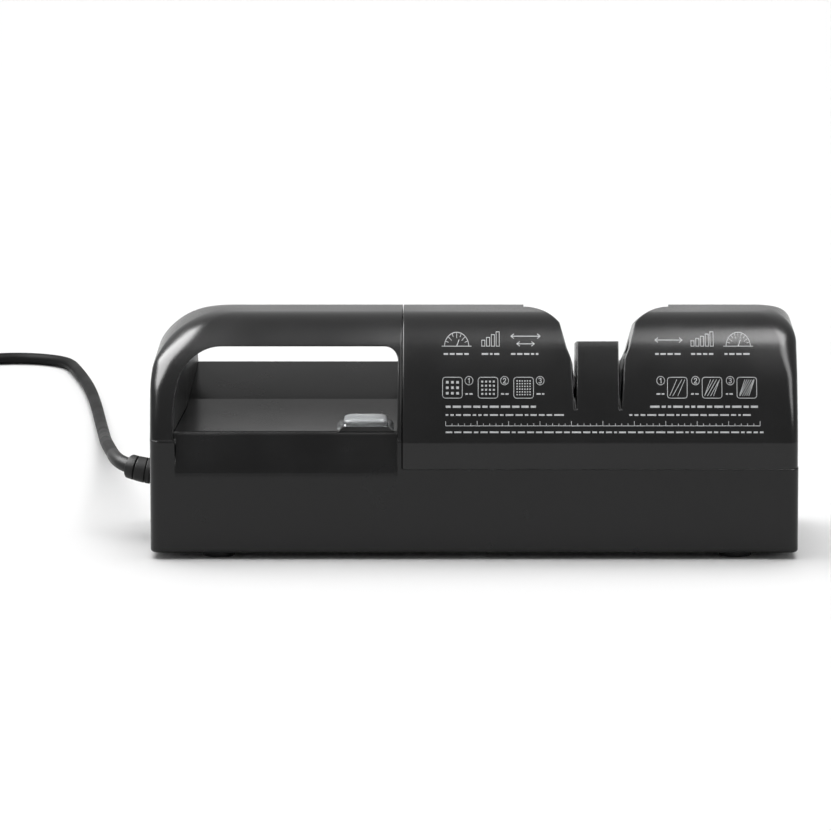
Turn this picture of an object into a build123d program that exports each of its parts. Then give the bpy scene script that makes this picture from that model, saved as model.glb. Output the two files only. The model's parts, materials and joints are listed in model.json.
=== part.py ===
from build123d import *
import os
import math

# Electric knife sharpener, free standing, on four rubber feet.
# Frame: +X along the body to the right, +Y to the rear, +Z up; the origin is
# the centre of the footprint, on the surface that the feet stand on.
# All dimensions are millimetres.

os.makedirs("parts", exist_ok=True)

# ---------------------------------------------------------------- driving sizes
LENGTH = 310.0            # overall length of the appliance
WIDTH = 110.0             # overall depth
HEIGHT = 113.5            # top of the handle and of the belt cover
HX, HY = LENGTH / 2, WIDTH / 2
BASE_Z0 = 3.1             # underside of the housing, height of the feet
SEAM_Z = 43.9             # rim of the tub, underside of the belt cover
BEND_Z = 56.5             # height where the vertical skirt starts to lean in
LEG_Z = 57.5              # joint between the base and the carrying handle
WALL = 2.4                # housing wall
LID_WALL = 2.2            # belt cover wall
R_SIDE = 105.0            # large radius of the side profile
R_TOP = 35.17             # crown radius of the side profile
TILT0, TILT1 = 10.0, 35.0 # lean of the side at the bend and at the crown
HANDLE_X1 = -34.7         # right end of the handle and of the base's high part
LID_X0, LID_X1 = -34.2, 154.7
DECK_Z, DECK_D = 60.7, 7.0   # front edge of the deck, set back by 7
CREASE_Y, CREASE_Z = 4.0, 68.2   # the deck turns up more steeply from here
REAR_Y, REAR_Z = 44.5, 80.1      # rear edge of the deck, its highest line
ROLL_Z, ROLL_R, LEAN = 39.4, 20.0, 21.6   # the recess face rolls in from here, to this lean
CORNER_L, CORNER_R = 5.0, 4.0
BAR_Z = 100.3             # underside of the handle bar
OPEN_X0, OPEN_X1 = -143.9, -36.5   # handle opening, left and right
GUIDE_X = 59.15           # centre of the blade guide
GUIDE_HALF = 9.95
NOTCH_SLOPE = 9.5         # fall of the knife notch towards the rear, degrees
BELT_W = 30.0             # abrasive belt width
BELT_T = 0.8
AXIS_Z = 33.0             # height of the motor and drive shafts
DRIVE_X = (35.2, 83.2)    # drive rollers, left and right
NOSE_X = (39.2, 79.2)     # nose rollers, left and right
NOSE_Z = 82.2
R_DRIVE, R_NOSE = 11.75, 7.75
MODULE, TEETH = 1.5, 32
MOTOR_X = -88.0
R_PUL_M, R_PUL_D = 5.6, 14.0   # toothed pulleys, ratio 0.4
CORD_D = 6.4


# ---------------------------------------------------------------- helpers
def save(shape, name):
    """Writes one named sub-part."""
    solids = shape.solids()
    out = solids[0] if len(solids) == 1 else Compound(children=list(solids))
    out.label = name
    export_step(out, "parts/" + name + ".step")
    box = out.bounding_box()
    print("%-24s %2d solids  %9.1f mm3  %s .. %s" % (
        name, len(solids), sum(s.volume for s in solids),
        tuple(round(v, 1) for v in box.min), tuple(round(v, 1) for v in box.max)))
    return out


def face_of(items, place):
    """Closed face from 2-D points; an item of two points is an arc (mid, end)."""
    edges, first, last = [], None, None
    for it in items:
        if isinstance(it[0], (tuple, list)):
            edges.append(Edge.make_three_point_arc(place(*last), place(*it[0]), place(*it[1])))
            last = it[1]
        else:
            if last is not None and math.dist(last, it) > 1e-6:
                edges.append(Edge.make_line(place(*last), place(*it)))
            last = it
        if first is None:
            first = last
    if math.dist(first, last) > 1e-6:
        edges.append(Edge.make_line(place(*last), place(*first)))
    return Face(Wire(edges))


def yz(u, v):
    return (0.0, u, v)


def xz(u, v):
    return (u, 0.0, v)


def along_x(items, x0, x1):
    """Prism with a Y-Z section, from x0 to x1."""
    return Pos(x0, 0, 0) * extrude(face_of(items, yz), amount=x1 - x0, dir=(1, 0, 0))


def along_y(items, y0, y1):
    """Prism with an X-Z section, from y0 to y1."""
    return Pos(0, y0, 0) * extrude(face_of(items, xz), amount=y1 - y0, dir=(0, 1, 0))


def box(x0, x1, y0, y1, z0, z1):
    return Pos((x0 + x1) / 2, (y0 + y1) / 2, (z0 + z1) / 2) * Box(x1 - x0, y1 - y0, z1 - z0)


def cyl_y(x, z, r, y0, y1):
    return Pos(x, (y0 + y1) / 2, z) * Rot(90, 0, 0) * Cylinder(r, y1 - y0)


def cyl_z(x, y, r, z0, z1):
    return Pos(x, y, (z0 + z1) / 2) * Cylinder(r, z1 - z0)


def cyl_x(y, z, r, x0, x1):
    return Pos((x0 + x1) / 2, y, z) * Rot(0, 90, 0) * Cylinder(r, x1 - x0)


def polar(cx, cz, r, deg):
    return (cx + r * math.cos(math.radians(deg)), cz + r * math.sin(math.radians(deg)))


def arc(cx, cz, r, a0, a1):
    """Arc item (mid, end) for face_of, angles in degrees from +u."""
    return (polar(cx, cz, r, (a0 + a1) / 2), polar(cx, cz, r, a1))


def profile(off=0.0, z0=0.0):
    """Side section of the handle and of the belt cover, inset by off."""
    t0, t1 = math.radians(TILT0), math.radians(TILT1)
    c1 = (-HY + R_SIDE * math.cos(t0), BEND_Z - R_SIDE * math.sin(t0))
    e1 = (c1[0] - R_SIDE * math.cos(t1), c1[1] + R_SIDE * math.sin(t1))
    c2 = (e1[0] + R_TOP * math.cos(t1), e1[1] - R_TOP * math.sin(t1))
    s = polar(c1[0], c1[1], R_SIDE - off, 180 - TILT0)
    top = (c2[0], c2[1] + R_TOP - off)
    left = [(s[0], z0), s,
            arc(c1[0], c1[1], R_SIDE - off, 180 - TILT0, 180 - TILT1),
            arc(c2[0], c2[1], R_TOP - off, 180 - TILT1, 90)]
    right = [(-top[0], top[1]),
             arc(-c2[0], c2[1], R_TOP - off, 90, TILT1),
             arc(-c1[0], c1[1], R_SIDE - off, TILT1, TILT0),
             (-s[0], z0)]
    return left + right


def plan_block(x0, x1, off, z0, z1, rl, rr):
    """Rounded block in plan: corner radius rl at the left end, rr at the right."""
    y = HY - off
    items = [(x0 + rl, -y), (x1 - rr, -y)]
    if rr > 0:
        items.append(arc(x1 - rr, -y + rr, rr, -90, 0))
    items.append((x1, y - rr))
    if rr > 0:
        items.append(arc(x1 - rr, y - rr, rr, 0, 90))
    items.append((x0 + rl, y))
    if rl > 0:
        items.append(arc(x0 + rl, y - rl, rl, 90, 180))
    items.append((x0, -y + rl))
    if rl > 0:
        items.append(arc(x0 + rl, -y + rl, rl, 180, 270))
    f = face_of(items, lambda u, v: (u, v, z0))
    return extrude(f, amount=z1 - z0, dir=(0, 0, 1))


def soften(shape, edges, radius, what):
    """Fillet, then chamfer, then leave the edge sharp."""
    for r in (radius, radius * 0.7, radius * 0.4):
        try:
            out = fillet(edges, r)
            if out.is_valid and out.volume > 0.5 * shape.volume:
                print("   fillet", what, "r", round(r, 2))
                return out
        except Exception:
            pass
    print("   no fillet on", what)
    return shape


# ---------------------------------------------------------------- belt cover
lid_outline = [(LID_X0, SEAM_Z), (LID_X1, SEAM_Z), (LID_X1, HEIGHT - 13.0),
               arc(LID_X1 - 13.0, HEIGHT - 13.0, 13.0, 0, 90), (LID_X0, HEIGHT)]
lid_inner_outline = [(LID_X0 + LID_WALL, SEAM_Z - 5), (LID_X1 - LID_WALL, SEAM_Z - 5),
                     (LID_X1 - LID_WALL, HEIGHT - 13.0),
                     arc(LID_X1 - 13.0, HEIGHT - 13.0, 13.0 - LID_WALL, 0, 90),
                     (LID_X0 + LID_WALL, HEIGHT - LID_WALL)]
lid_outer = along_x(profile(0, SEAM_Z), LID_X0, LID_X1) & along_y(lid_outline, -60, 60)
lid_outer = lid_outer & plan_block(LID_X0, LID_X1, 0, SEAM_Z, HEIGHT + 1, 0, CORNER_R)
lid_cavity = (along_x(profile(LID_WALL, SEAM_Z - 5), LID_X0 + LID_WALL, LID_X1 - LID_WALL)
              & along_y(lid_inner_outline, -60, 60))

# Knife notch: the lobes fall away from a rounded shoulder to the two slots, and
# the blade guide stands between them. The notch runs down towards the rear.
NR = 21.7
a_mid = math.degrees(math.atan2(111.85 - 98.4, 40.9 - 23.9))


def mirror_x(p):
    return (2 * GUIDE_X - p[0], p[1])


def notch(off):
    """Notch section at the reference plane, grown by off."""
    r = NR - off
    left = [(23.9 - off, 140), (23.9 - off, 98.4 + r * 1.0) if off == 0 else (23.9, 98.4 + r)]
    pts = [(23.9, 140), (23.9, 98.4 + r)]
    ang = a_mid
    pts.append(arc(23.9, 98.4, r, 90, ang))
    pts += [(44.3 - off, 99.4 - off * 0.2), (46.4 - off, 94.0 - off)]
    right = [(49.2 + off, 94.0 - off), (49.2 + off, 102.6 - off)]
    mirrored = [mirror_x(p) for p in (right[1], right[0], (46.4 - off, 94.0 - off), (44.3 - off, 99.4 - off * 0.2))]
    last = polar(23.9, 98.4, r, ang)
    mirrored.append(mirror_x(last))
    m_mid = mirror_x(polar(23.9, 98.4, r, (90 + ang) / 2))
    m_end = mirror_x((23.9, 98.4 + r))
    return pts + right + mirrored + [(m_mid, m_end), mirror_x((23.9, 140))]


def notch_cut(off):
    t = math.radians(NOTCH_SLOPE)
    f = face_of(notch(off), lambda u, v: (u, -HY + 20, v))
    front = extrude(f, amount=150, dir=(0, math.cos(t), -math.sin(t)))
    back = extrude(f, amount=60, dir=(0, -math.cos(t), math.sin(t)))
    return front + back


def slots(off, z_low):
    one = [(46.4 - off, 99.0), (46.4 - off, 94.0), (47.8 - off, 72.0 - off), (49.0 + off, 72.0 - off),
           (49.2 + off, 94.0), (49.2 + off, 99.0)]
    a = along_y(one, -70, 70)
    b = along_y([mirror_x(p) for p in one], -70, 70)
    return a + b


lid = lid_outer
end_edges = [e for e in lid.edges() if e.center().X > LID_X1 - 13.0 and e.center().Z > 60
             and abs(e.center().Y) > 12 and e.bounding_box().size.Z > 5]
lid = lid - notch_cut(0) - slots(0, 72)
cav = lid_cavity - notch_cut(LID_WALL) - slots(LID_WALL, 70)
lid = lid - cav
# windows through the slot walls, where the abrasive belts meet the blade
for s in (0, 1):
    w = box(39.0, 48.9, -17, 17, SEAM_Z - 1, 97.0)
    lid = lid - (w if s == 0 else box(2 * GUIDE_X - 48.9, 2 * GUIDE_X - 39.0, -17, 17, SEAM_Z - 1, 97.0))
# finger that presses the interlock plunger when the cover is on
lid = lid + box(-22.0, -18.0, -52.9, -40.5, 44.2, 57.0) + box(-22.0, -18.0, -46.0, -40.5, 36.3, 44.4)
lid = lid & (lid_outer + box(-23, -17, -50, -40, 36, 50))
save(lid, "lid_cover")

# ---------------------------------------------------------------- carrying handle


def handle_curve(off):
    """Left side of the handle in X-Z: three tangent arcs, inset by off, from the crown down."""
    c1 = (-120.38, HEIGHT - 36.6)
    c2 = polar(c1[0], c1[1], 36.6 - 16.0, 152)
    c3 = polar(c2[0], c2[1], -(60.0 - 16.0), 172)
    return [(c1[0], HEIGHT - off), arc(c1[0], c1[1], 36.6 - off, 90, 152),
            arc(c2[0], c2[1], 16.0 - off, 152, 172), arc(c3[0], c3[1], 60.0 - off, 172, 180)]


def opening(off, z_low=40.0):
    """Contour of the handle opening, grown by off, down to z_low."""
    b = OPEN_X1 + off
    ca = (OPEN_X0 + 75.0, 66.0)
    cb = polar(ca[0], ca[1], 75.0 - 21.3, 166)
    bar = cb[1] + 21.3
    return [(OPEN_X0 - off, z_low), (OPEN_X0 - off, 66.0), arc(ca[0], ca[1], 75.0 + off, 180, 166),
            arc(cb[0], cb[1], 21.3 + off, 166, 90),
            (b - 6.3 - off, bar + off), arc(b - 6.3 - off, bar - 6.3, 6.3 + off, 90, 0), (b, z_low)]


handle_out = [(-155.0, LEG_Z), (HANDLE_X1, LEG_Z), (HANDLE_X1, HEIGHT)] + handle_curve(0)
handle_env = along_x(profile(0, LEG_Z), -155.0, HANDLE_X1) & along_y(handle_out, -60, 60)
handle_env = handle_env & plan_block(-155.0, HANDLE_X1, 0, LEG_Z, HEIGHT + 1, CORNER_L, 0)
inner_out = [(-152.6, LEG_Z - 5), (HANDLE_X1 + 60, LEG_Z - 5), (HANDLE_X1 + 60, HEIGHT - WALL)] + handle_curve(WALL)
handle_in = (along_x(profile(WALL, LEG_Z - 5), -152.6, HANDLE_X1 - 1.8)
             & along_y(inner_out, -60, 60))
open_cut = along_y(opening(0), -60, 60)
open_big = along_y(opening(WALL), -60, 60)
handle_shell = handle_env - handle_in - open_cut
# end plate against the belt cover closes the right end of the bar
handle_shell = handle_shell + (along_x(profile(0, LEG_Z), OPEN_X1, HANDLE_X1))
save(handle_shell, "handle_shell")
liner = (handle_in - open_cut) & open_big
liner = liner & box(-160, OPEN_X1 - 0.1, -60, 60, LEG_Z + 0.0, 120)
# inner block of the leg: the opening is narrower towards the rear
leg_plan = face_of([(-146.0, -46.0), (-143.4, -46.0), (-141.9, -30.0), (-139.4, -9.0), (-135.4, 50.0), (-146.0, 50.0)], lambda u, v: (u, v, LEG_Z))
leg_block = extrude(leg_plan, amount=50, dir=(0, 0, 1)) & along_y(opening(0), -60, 60) & along_x(profile(WALL + 0.05, LEG_Z - 5), -160, -100)
leg_block = leg_block - along_x([(-60, 30)] + [(y, z) for (y, z) in ((-60, 61.2), (-47.1, 61.2), (-21.5, 64.2), (CREASE_Y, CREASE_Z + 0.2), (REAR_Y, REAR_Z + 0.2), (REAR_Y + 1.6, REAR_Z), (REAR_Y + 2.3, REAR_Z - 1.5), (49.2, 58.6), (60, 40))], -160, -100)
leg_block = max(leg_block.solids(), key=lambda q: q.volume)
liner = liner + leg_block
save(liner, "handle_liner")

# ---------------------------------------------------------------- base housing
outer = plan_block(-155.0, 155.0, 0, BASE_Z0, SEAM_Z, CORNER_L, CORNER_R)
left_high = plan_block(-155.0, HANDLE_X1, 0, SEAM_Z - 2, LEG_Z, CORNER_L, 0)
# lean in of the skirt above the bend, between the bend and the handle joint
left_high = left_high & along_x(profile(0, SEAM_Z - 2), -156, HANDLE_X1)
lean0 = polar(-HY + ROLL_R, ROLL_Z, ROLL_R, 180 - LEAN)     # end of the roll
lean1 = polar(-HY + ROLL_R, ROLL_Z, ROLL_R, 180 - LEAN / 2)
deck_poly = [(-HY, ROLL_Z - 0.3), (-HY, ROLL_Z), (lean1, lean0), (-HY + DECK_D - 0.9, 58.6),
             ((-HY + DECK_D - 0.3, 59.9), (-HY + DECK_D + 0.9, 61.0)),
             ((-21.5, 63.8), (CREASE_Y, CREASE_Z)), (REAR_Y, REAR_Z), ((REAR_Y + 1.4, REAR_Z - 0.2), (REAR_Y + 2.0, REAR_Z - 1.5)),
             (HY - DECK_D + 0.9, 58.6), (-lean0[0], lean0[1]), ((-lean1[0], lean1[1]), (HY, ROLL_Z)), (HY, ROLL_Z - 0.3)]
recess = box(-143.0, OPEN_X1, -60, 60, 42.0, 70)
pillar_and_wall = left_high - recess
deck_solid = along_x(deck_poly, OPEN_X0 + 0.05, OPEN_X1) & along_y(opening(-0.05, 38.0), -60, 60)
deck_solid = deck_solid + (along_x(deck_poly, OPEN_X1 - 1.0, OPEN_X1) & box(-60, 0, -60, 60, 38.0, LEG_Z))
rim_cut_low = box(-143.0, OPEN_X1, -60, 60, ROLL_Z - 0.2, SEAM_Z + 0.01)
body = (outer - rim_cut_low) + pillar_and_wall + deck_solid
# hollow
tub_in = plan_block(-155 + WALL, 155 - WALL, WALL, BASE_Z0 - 1, SEAM_Z + 0.1, CORNER_L - WALL, CORNER_R - 1.6)
deck_in_poly = [(-HY + WALL, 30.0), (-HY + WALL, 41.8), (-HY + 4.6, 48.6), (-HY + DECK_D + 1.6, 58.4),
                ((-20.9, 61.4), (CREASE_Y + 0.4, CREASE_Z - 2.5)), (REAR_Y - 0.6, REAR_Z - 2.8), (HY - DECK_D - 1.6, 58.4),
                (HY - 4.6, 48.6), (HY - WALL, 41.8), (HY - WALL, 30.0)]
deck_in = along_x(deck_in_poly, -143.0, OPEN_X1)
pillar_in = box(-152.6, -142.9, -HY + WALL, HY - WALL, 30, LEG_Z - WALL)
tub_in = tub_in - box(-143.0, OPEN_X1, -60, 60, 41.8, 60)
body = body - tub_in - deck_in - pillar_in
# the cross wall between the deck and the belt bay, open below for the belt drive
body = body - box(-37, -34, -HY + WALL, HY - WALL, 20, SEAM_Z)
# bosses for the case screws, tied to the corner walls
CASE_SCREWS = [(-146.5, -46.5), (-146.5, 46.5), (146.5, -46.5), (146.5, 46.5), (0.0, -48.6), (0.0, 48.6)]
for (sx, sy) in CASE_SCREWS:
    post = cyl_z(sx, sy, 4.6 if abs(sx) > 100 else 3.7, 6.4, 38.0)
    if sx > 100 or sx < -100:
        post = post + box(min(sx, sx * 1.045), max(sx, sx * 1.045), sy - 1.2, sy + 1.2, 6.4, 36.0)
        post = post + box(sx - 1.2, sx + 1.2, min(sy, sy * 1.14), max(sy, sy * 1.14), 6.4, 36.0)
    else:
        post = post + box(sx - 1.5, sx + 1.5, min(sy, sy * 1.09), max(sy, sy * 1.09), 6.4, 36.0)
    body = body + (post & plan_block(-154, 154, 1.0, 0, 60, 4.0, 3.0))
for (sx, sy) in CASE_SCREWS:
    body = body - cyl_z(sx, sy, 1.5, 6.0, 24.0)
# hole for the strain relief, in the left wall
REL_Y, REL_Z = 3.0, 32.5
body = body - cyl_x(REL_Y, REL_Z, 5.0, -156, -150)
# switch well, square to the deck
SW_X = -52.0
SLOPE = 6.0
SW_D = 14.7
sw_origin = Pos(SW_X, -HY + SW_D, 61.75)
SW = sw_origin * Rot(SLOPE, 0, 0)
body = body - SW * Box(21.0, 11.0, 14.0)
low = [e for e in body.edges() if abs(e.bounding_box().max.Z - BASE_Z0) < 0.01
       and (abs(e.center().Y) > HY - 1.5 or abs(e.center().X) > 153.4)]
body = soften(body, low, 1.5, "lower edge")
save(body, "base_housing")

# ---------------------------------------------------------------- bottom plate, feet, screws
plate = plan_block(-152.2, 152.2, WALL + 0.4, BASE_Z0, BASE_Z0 + 2.4, 2.3, 2.1)
FEET = [(-122.6, -42.0), (-122.6, 42.0), (125.3, -42.0), (125.3, 42.0)]
for (sx, sy) in CASE_SCREWS:
    plate = plate - cyl_z(sx, sy, 1.8, 0, 8) - cyl_z(sx, sy, 3.2, 0, BASE_Z0 + 1.2)
for (fx, fy) in FEET:
    plate = plate - cyl_z(fx, fy, 1.3, 0, 8)
for i in range(9):
    plate = plate - box(40 + i * 5.0, 42 + i * 5.0, -14, 14, 2, 8)
    plate = plate - box(-110 + i * 5.0, -108 + i * 5.0, -14, 14, 2, 8)
save(plate, "bottom_plate")

feet, foot_screws, case_screws = None, None, None
for (fx, fy) in FEET:
    f = cyl_z(fx, fy, 7.5, 0.0, BASE_Z0)
    f = f & (Pos(fx, fy, 12.2) * Sphere(14.2))
    f = f - cyl_z(fx, fy, 2.6, -1, 1.6) - cyl_z(fx, fy, 1.35, -1, 5)
    feet = f if feet is None else feet + f
    s = cyl_z(fx, fy, 2.4, 0.7, 1.6) + cyl_z(fx, fy, 1.3, 1.5, 7.5)
    foot_screws = s if foot_screws is None else foot_screws + s
save(feet, "rubber_feet")
save(foot_screws, "foot_screws")
for (sx, sy) in CASE_SCREWS:
    s = cyl_z(sx, sy, 3.0, BASE_Z0 - 0.2, BASE_Z0 + 1.2) + cyl_z(sx, sy, 1.5, BASE_Z0 + 1.1, 18.0)
    s = s - box(sx - 2.0, sx + 2.0, sy - 0.35, sy + 0.35, BASE_Z0 - 1, BASE_Z0 + 0.5)
    case_screws = s if case_screws is None else case_screws + s
save(case_screws, "case_screws")

# ---------------------------------------------------------------- switch
bez = loft([SW * Rectangle(26.7, 15.2), SW * Pos(0, 0, 1.9) * Rectangle(22.6, 12.4)])
bez = bez + SW * Pos(0, 0, -0.8) * Box(20.6, 10.6, 1.6)
bez = bez - SW * Pos(0, 0, 0) * Box(18.6, 8.6, 20)
save(bez, "switch_bezel")
boot = loft([SW * Pos(0, 0, 1.95) * RectangleRounded(21.4, 11.6, 2.0), SW * Pos(0, 0, 7.4) * RectangleRounded(19.0, 9.4, 2.6)])
boot_in = loft([SW * Pos(0, 0, 1.5) * RectangleRounded(19.6, 9.8, 1.5), SW * Pos(0, 0, 6.6) * RectangleRounded(17.4, 7.8, 2.0)])
save(boot - boot_in, "switch_boot")
# the rocker lies tipped by 8 degrees, its right end down
rk = Pos(0, 0, -1.0) * Box(17.0, 7.6, 3.2)
rk = rk + Pos(0, 0, 0.6) * (Rot(90, 0, 0) * extrude(make_face(Polyline((-8.5, 0), (-8.5, 1.4), (0, 0.5), (8.5, 1.4), (8.5, 0), close=True)), amount=3.8, both=True))
rk = rk + Pos(0, 0, -3.4) * Rot(90, 0, 0) * Cylinder(1.6, 7.6)
rk = rk & (Pos(0, 0, -3.4) * Rot(90, 0, 0) * Cylinder(9.1, 20))
rk = rk - Pos(0, 0, -3.4) * Rot(90, 0, 0) * Cylinder(0.85, 20)
ROCK = SW * Pos(0, 0, -3.4) * Rot(0, 8.0, 0) * Pos(0, 0, 3.4)
save(ROCK * rk, "switch_rocker")
swb = SW * Pos(0, 0, -11.4) * Box(20.2, 10.2, 13.0) - SW * Pos(0, 0, -7.4) * Box(18.4, 8.2, 12.0)
swb = swb + SW * Pos(0, 0, -3.4) * Rot(90, 0, 0) * Cylinder(0.8, 9.2) + SW * Pos(0, 4.5, -5.0) * Box(4, 1.2, 6) + SW * Pos(0, -4.5, -5.0) * Box(4, 1.2, 6)
save(swb, "switch_body")
swt = SW * Pos(-6, 0, -21.4) * Box(0.8, 4.8, 7.0) + SW * Pos(0, 0, -21.4) * Box(0.8, 4.8, 7.0)
save(swt, "switch_terminals")

# ---------------------------------------------------------------- motor, axis along Y
mz = AXIS_Z
st = cyl_y(MOTOR_X, mz, 25.0, -17, 17) - cyl_y(MOTOR_X, mz, 14.0, -18, 18)
for k in range(2):
    st = st - (Pos(MOTOR_X, 0, mz) * Rot(0, 90 * (2 * k) + 0, 0) * Pos(0, 0, 17.6) * Box(24, 40, 4.0))
save(st, "motor_stator")
wd = None
for sgn in (-1, 1):
    c = Pos(MOTOR_X, 0, mz) * Pos(0, 0, sgn * 17.6) * (Box(23.4, 46, 3.4) - Box(17, 40, 10))
    c2 = box(MOTOR_X - 11.7, MOTOR_X + 11.7, 17.2, 23.0, mz + sgn * 17.6 - 1.7, mz + sgn * 17.6 + 1.7)
    c3 = box(MOTOR_X - 11.7, MOTOR_X + 11.7, -23.0, -17.2, mz + sgn * 17.6 - 1.7, mz + sgn * 17.6 + 1.7)
    piece = (c + c2 + c3)
    wd = piece if wd is None else wd + piece
save(wd, "motor_windings")


def motor_end(y0, y1, sgn):
    """Dished end cap with a bearing seat and four legs on the stator face."""
    ya, yb = (y0, y1)
    plate_y = yb if sgn > 0 else ya
    cap = cyl_y(MOTOR_X, mz, 24.0, min(plate_y, plate_y - sgn * 2.2), max(plate_y, plate_y - sgn * 2.2))
    cap = cap + cyl_y(MOTOR_X, mz, 12.0, min(plate_y, plate_y - sgn * 7.4), max(plate_y, plate_y - sgn * 7.4))
    for a in (0, 180):
        px, pz = polar(MOTOR_X, mz, 20.4, a)
        cap = cap + cyl_y(px, pz, 2.8, ya, yb)
    for a in (35, 145, 215, 325):
        px, pz = polar(MOTOR_X, mz, 17.0, a)
        cap = cap - cyl_y(px, pz, 3.2, plate_y - 3, plate_y + 3)
    cap = cap - cyl_y(MOTOR_X, mz, 9.5, min(plate_y - sgn * 7.6, plate_y - sgn * 1.4), max(plate_y - sgn * 7.6, plate_y - sgn * 1.4))
    cap = cap - cyl_y(MOTOR_X, mz, 4.2, plate_y - 10, plate_y + 10)
    return cap


save(motor_end(-27.0, -17.0, -1), "motor_end_front")
save(motor_end(17.0, 27.0, 1), "motor_end_rear")
bear = (cyl_y(MOTOR_X, mz, 9.5, 19.6, 25.6) - cyl_y(MOTOR_X, mz, 3.05, 19, 27)
        + (cyl_y(MOTOR_X, mz, 9.5, -25.6, -19.6) - cyl_y(MOTOR_X, mz, 3.05, -27, -19)))
save(bear, "motor_bearings")
save(cyl_y(MOTOR_X, mz, 3.0, -45.0, 47.5), "motor_shaft")
rot = cyl_y(MOTOR_X, mz, 13.5, -17, 17) - cyl_y(MOTOR_X, mz, 3.0, -18, 18)
for k in range(12):
    px, pz = polar(MOTOR_X, mz, 12.2, 30 * k)
    rot = rot - cyl_y(px, pz, 0.7, -18, 18)
save(rot, "rotor_core")
fan = cyl_y(MOTOR_X, mz, 5.5, -43.0, -33.0) + cyl_y(MOTOR_X, mz, 20.0, -34.6, -33.0)
for k in range(10):
    fan = fan + Pos(MOTOR_X, 0, mz) * Rot(0, 36 * k, 0) * Pos(12.5, -38.5, 0) * Box(15.5, 9.0, 1.2)
fan = fan - cyl_y(MOTOR_X, mz, 3.0, -50, -20)
save(fan, "cooling_fan")


def toothed(x, z, r, n, y0, y1, bore):
    """Toothed pulley with two side flanges."""
    p = cyl_y(x, z, r, y0, y1)
    for k in range(n):
        px, pz = polar(x, z, r, 360.0 / n * k)
        p = p - cyl_y(px, pz, min(0.55, r * math.pi / n * 0.5), y0 - 1, y1 + 1)
    p = p + cyl_y(x, z, r + 1.8, y0, y0 + 1.0) + cyl_y(x, z, r + 1.8, y1 - 1.0, y1)
    return p - cyl_y(x, z, bore, y0 - 2, y1 + 2)


save(toothed(MOTOR_X, mz, R_PUL_M, 16, 36.0, 46.0, 3.0), "motor_pulley")
sad = None
for sgn in (-1, 1):
    s = box(MOTOR_X - 22, MOTOR_X + 22, sgn * 12 - 2.5, sgn * 12 + 2.5, 5.5, 24.0) - cyl_y(MOTOR_X, mz, 25.0, -30, 30)
    sad = s if sad is None else sad + s
sad = sad + box(MOTOR_X - 22, MOTOR_X + 22, -14.5, 14.5, 5.5, 7.4)
sad = sad + box(MOTOR_X - 33, MOTOR_X - 20, -14.5, 14.5, 5.5, 8.5) + box(MOTOR_X + 20, MOTOR_X + 33, -14.5, 14.5, 5.5, 8.5)
for sx in (-29.6, 29.6):
    sad = sad - cyl_z(MOTOR_X + sx, 0, 1.6, 4, 12)
sad = sad - cyl_y(MOTOR_X, mz, 25.0, -30, 30)
save(sad, "motor_saddle")
strap = (cyl_y(MOTOR_X, mz, 26.2, -6, 6) - cyl_y(MOTOR_X, mz, 25.0, -7, 7)) & box(MOTOR_X - 40, MOTOR_X + 40, -7, 7, 14.0, 80)
strap = strap + (box(MOTOR_X - 26.2, MOTOR_X - 25.0, -6, 6, 8.6, mz) + box(MOTOR_X + 25.0, MOTOR_X + 26.2, -6, 6, 8.6, mz))
strap = strap - cyl_y(MOTOR_X, mz, 25.0, -7, 7)
strap = strap + box(MOTOR_X - 33, MOTOR_X - 25.0, -6, 6, 8.5, 9.7) + box(MOTOR_X + 25.0, MOTOR_X + 33, -6, 6, 8.5, 9.7)
for sx in (-29.6, 29.6):
    strap = strap - cyl_z(MOTOR_X + sx, 0, 1.6, 4, 12)
save(strap, "motor_strap")
ms = None
for sx in (-29.6, 29.6):
    s = cyl_z(MOTOR_X + sx, 0, 2.6, 9.7, 11.6) + cyl_z(MOTOR_X + sx, 0, 1.5, 5.6, 9.8)
    ms = s if ms is None else ms + s
save(ms, "motor_screws")


# ---------------------------------------------------------------- belt drive from the motor
def tangent_belt(xa, za, ra, xb, zb, rb):
    """Outline round two wheels, the bigger one first or second, as face items."""
    dx, dz = xb - xa, zb - za
    dist = math.hypot(dx, dz)
    base = math.degrees(math.atan2(dz, dx))
    beta = math.degrees(math.acos((ra - rb) / dist))
    up, dn = base + beta, base - beta
    return [polar(xa, za, ra, up), polar(xb, zb, rb, up),
            arc(xb, zb, rb, up, dn), polar(xa, za, ra, dn),
            arc(xa, za, ra, dn, up - 360)]


tb = (along_y(tangent_belt(MOTOR_X, mz, R_PUL_M + 1.0, DRIVE_X[0], mz, R_PUL_D + 1.0), 37.2, 44.2)
      - along_y(tangent_belt(MOTOR_X, mz, R_PUL_M + 0.1, DRIVE_X[0], mz, R_PUL_D + 0.1), 37, 45))
save(tb, "drive_belt")

# ---------------------------------------------------------------- chassis
def chassis_plate(y0, y1):
    items = [(12, 5.5), (106.4, 5.5), (106.4, 46), (100, 58), (90.0, 66), (90.0, 76), (74.4, 76), (74.4, 66),
             (44.0, 66), (44.0, 76), (28.4, 76), (28.4, 66), (18.4, 58), (12, 46)]
    p = along_y(items, y0, y1)
    for x in DRIVE_X:
        p = p - cyl_y(x, AXIS_Z, 6.0, y0 - 1, y1 + 1)
    p = p - cyl_y(GUIDE_X, AXIS_Z, 7.0, y0 - 1, y1 + 1)
    for (x, z) in SPACERS:
        p = p - cyl_y(x, z, 1.6, y0 - 1, y1 + 1)
    foot_y = (y0 - 9, y0) if y0 < 0 else (y1, y1 + 2.4)
    p = p + box(12, 106.4, min(foot_y), max(foot_y), 5.5, 8.0)
    return p


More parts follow.
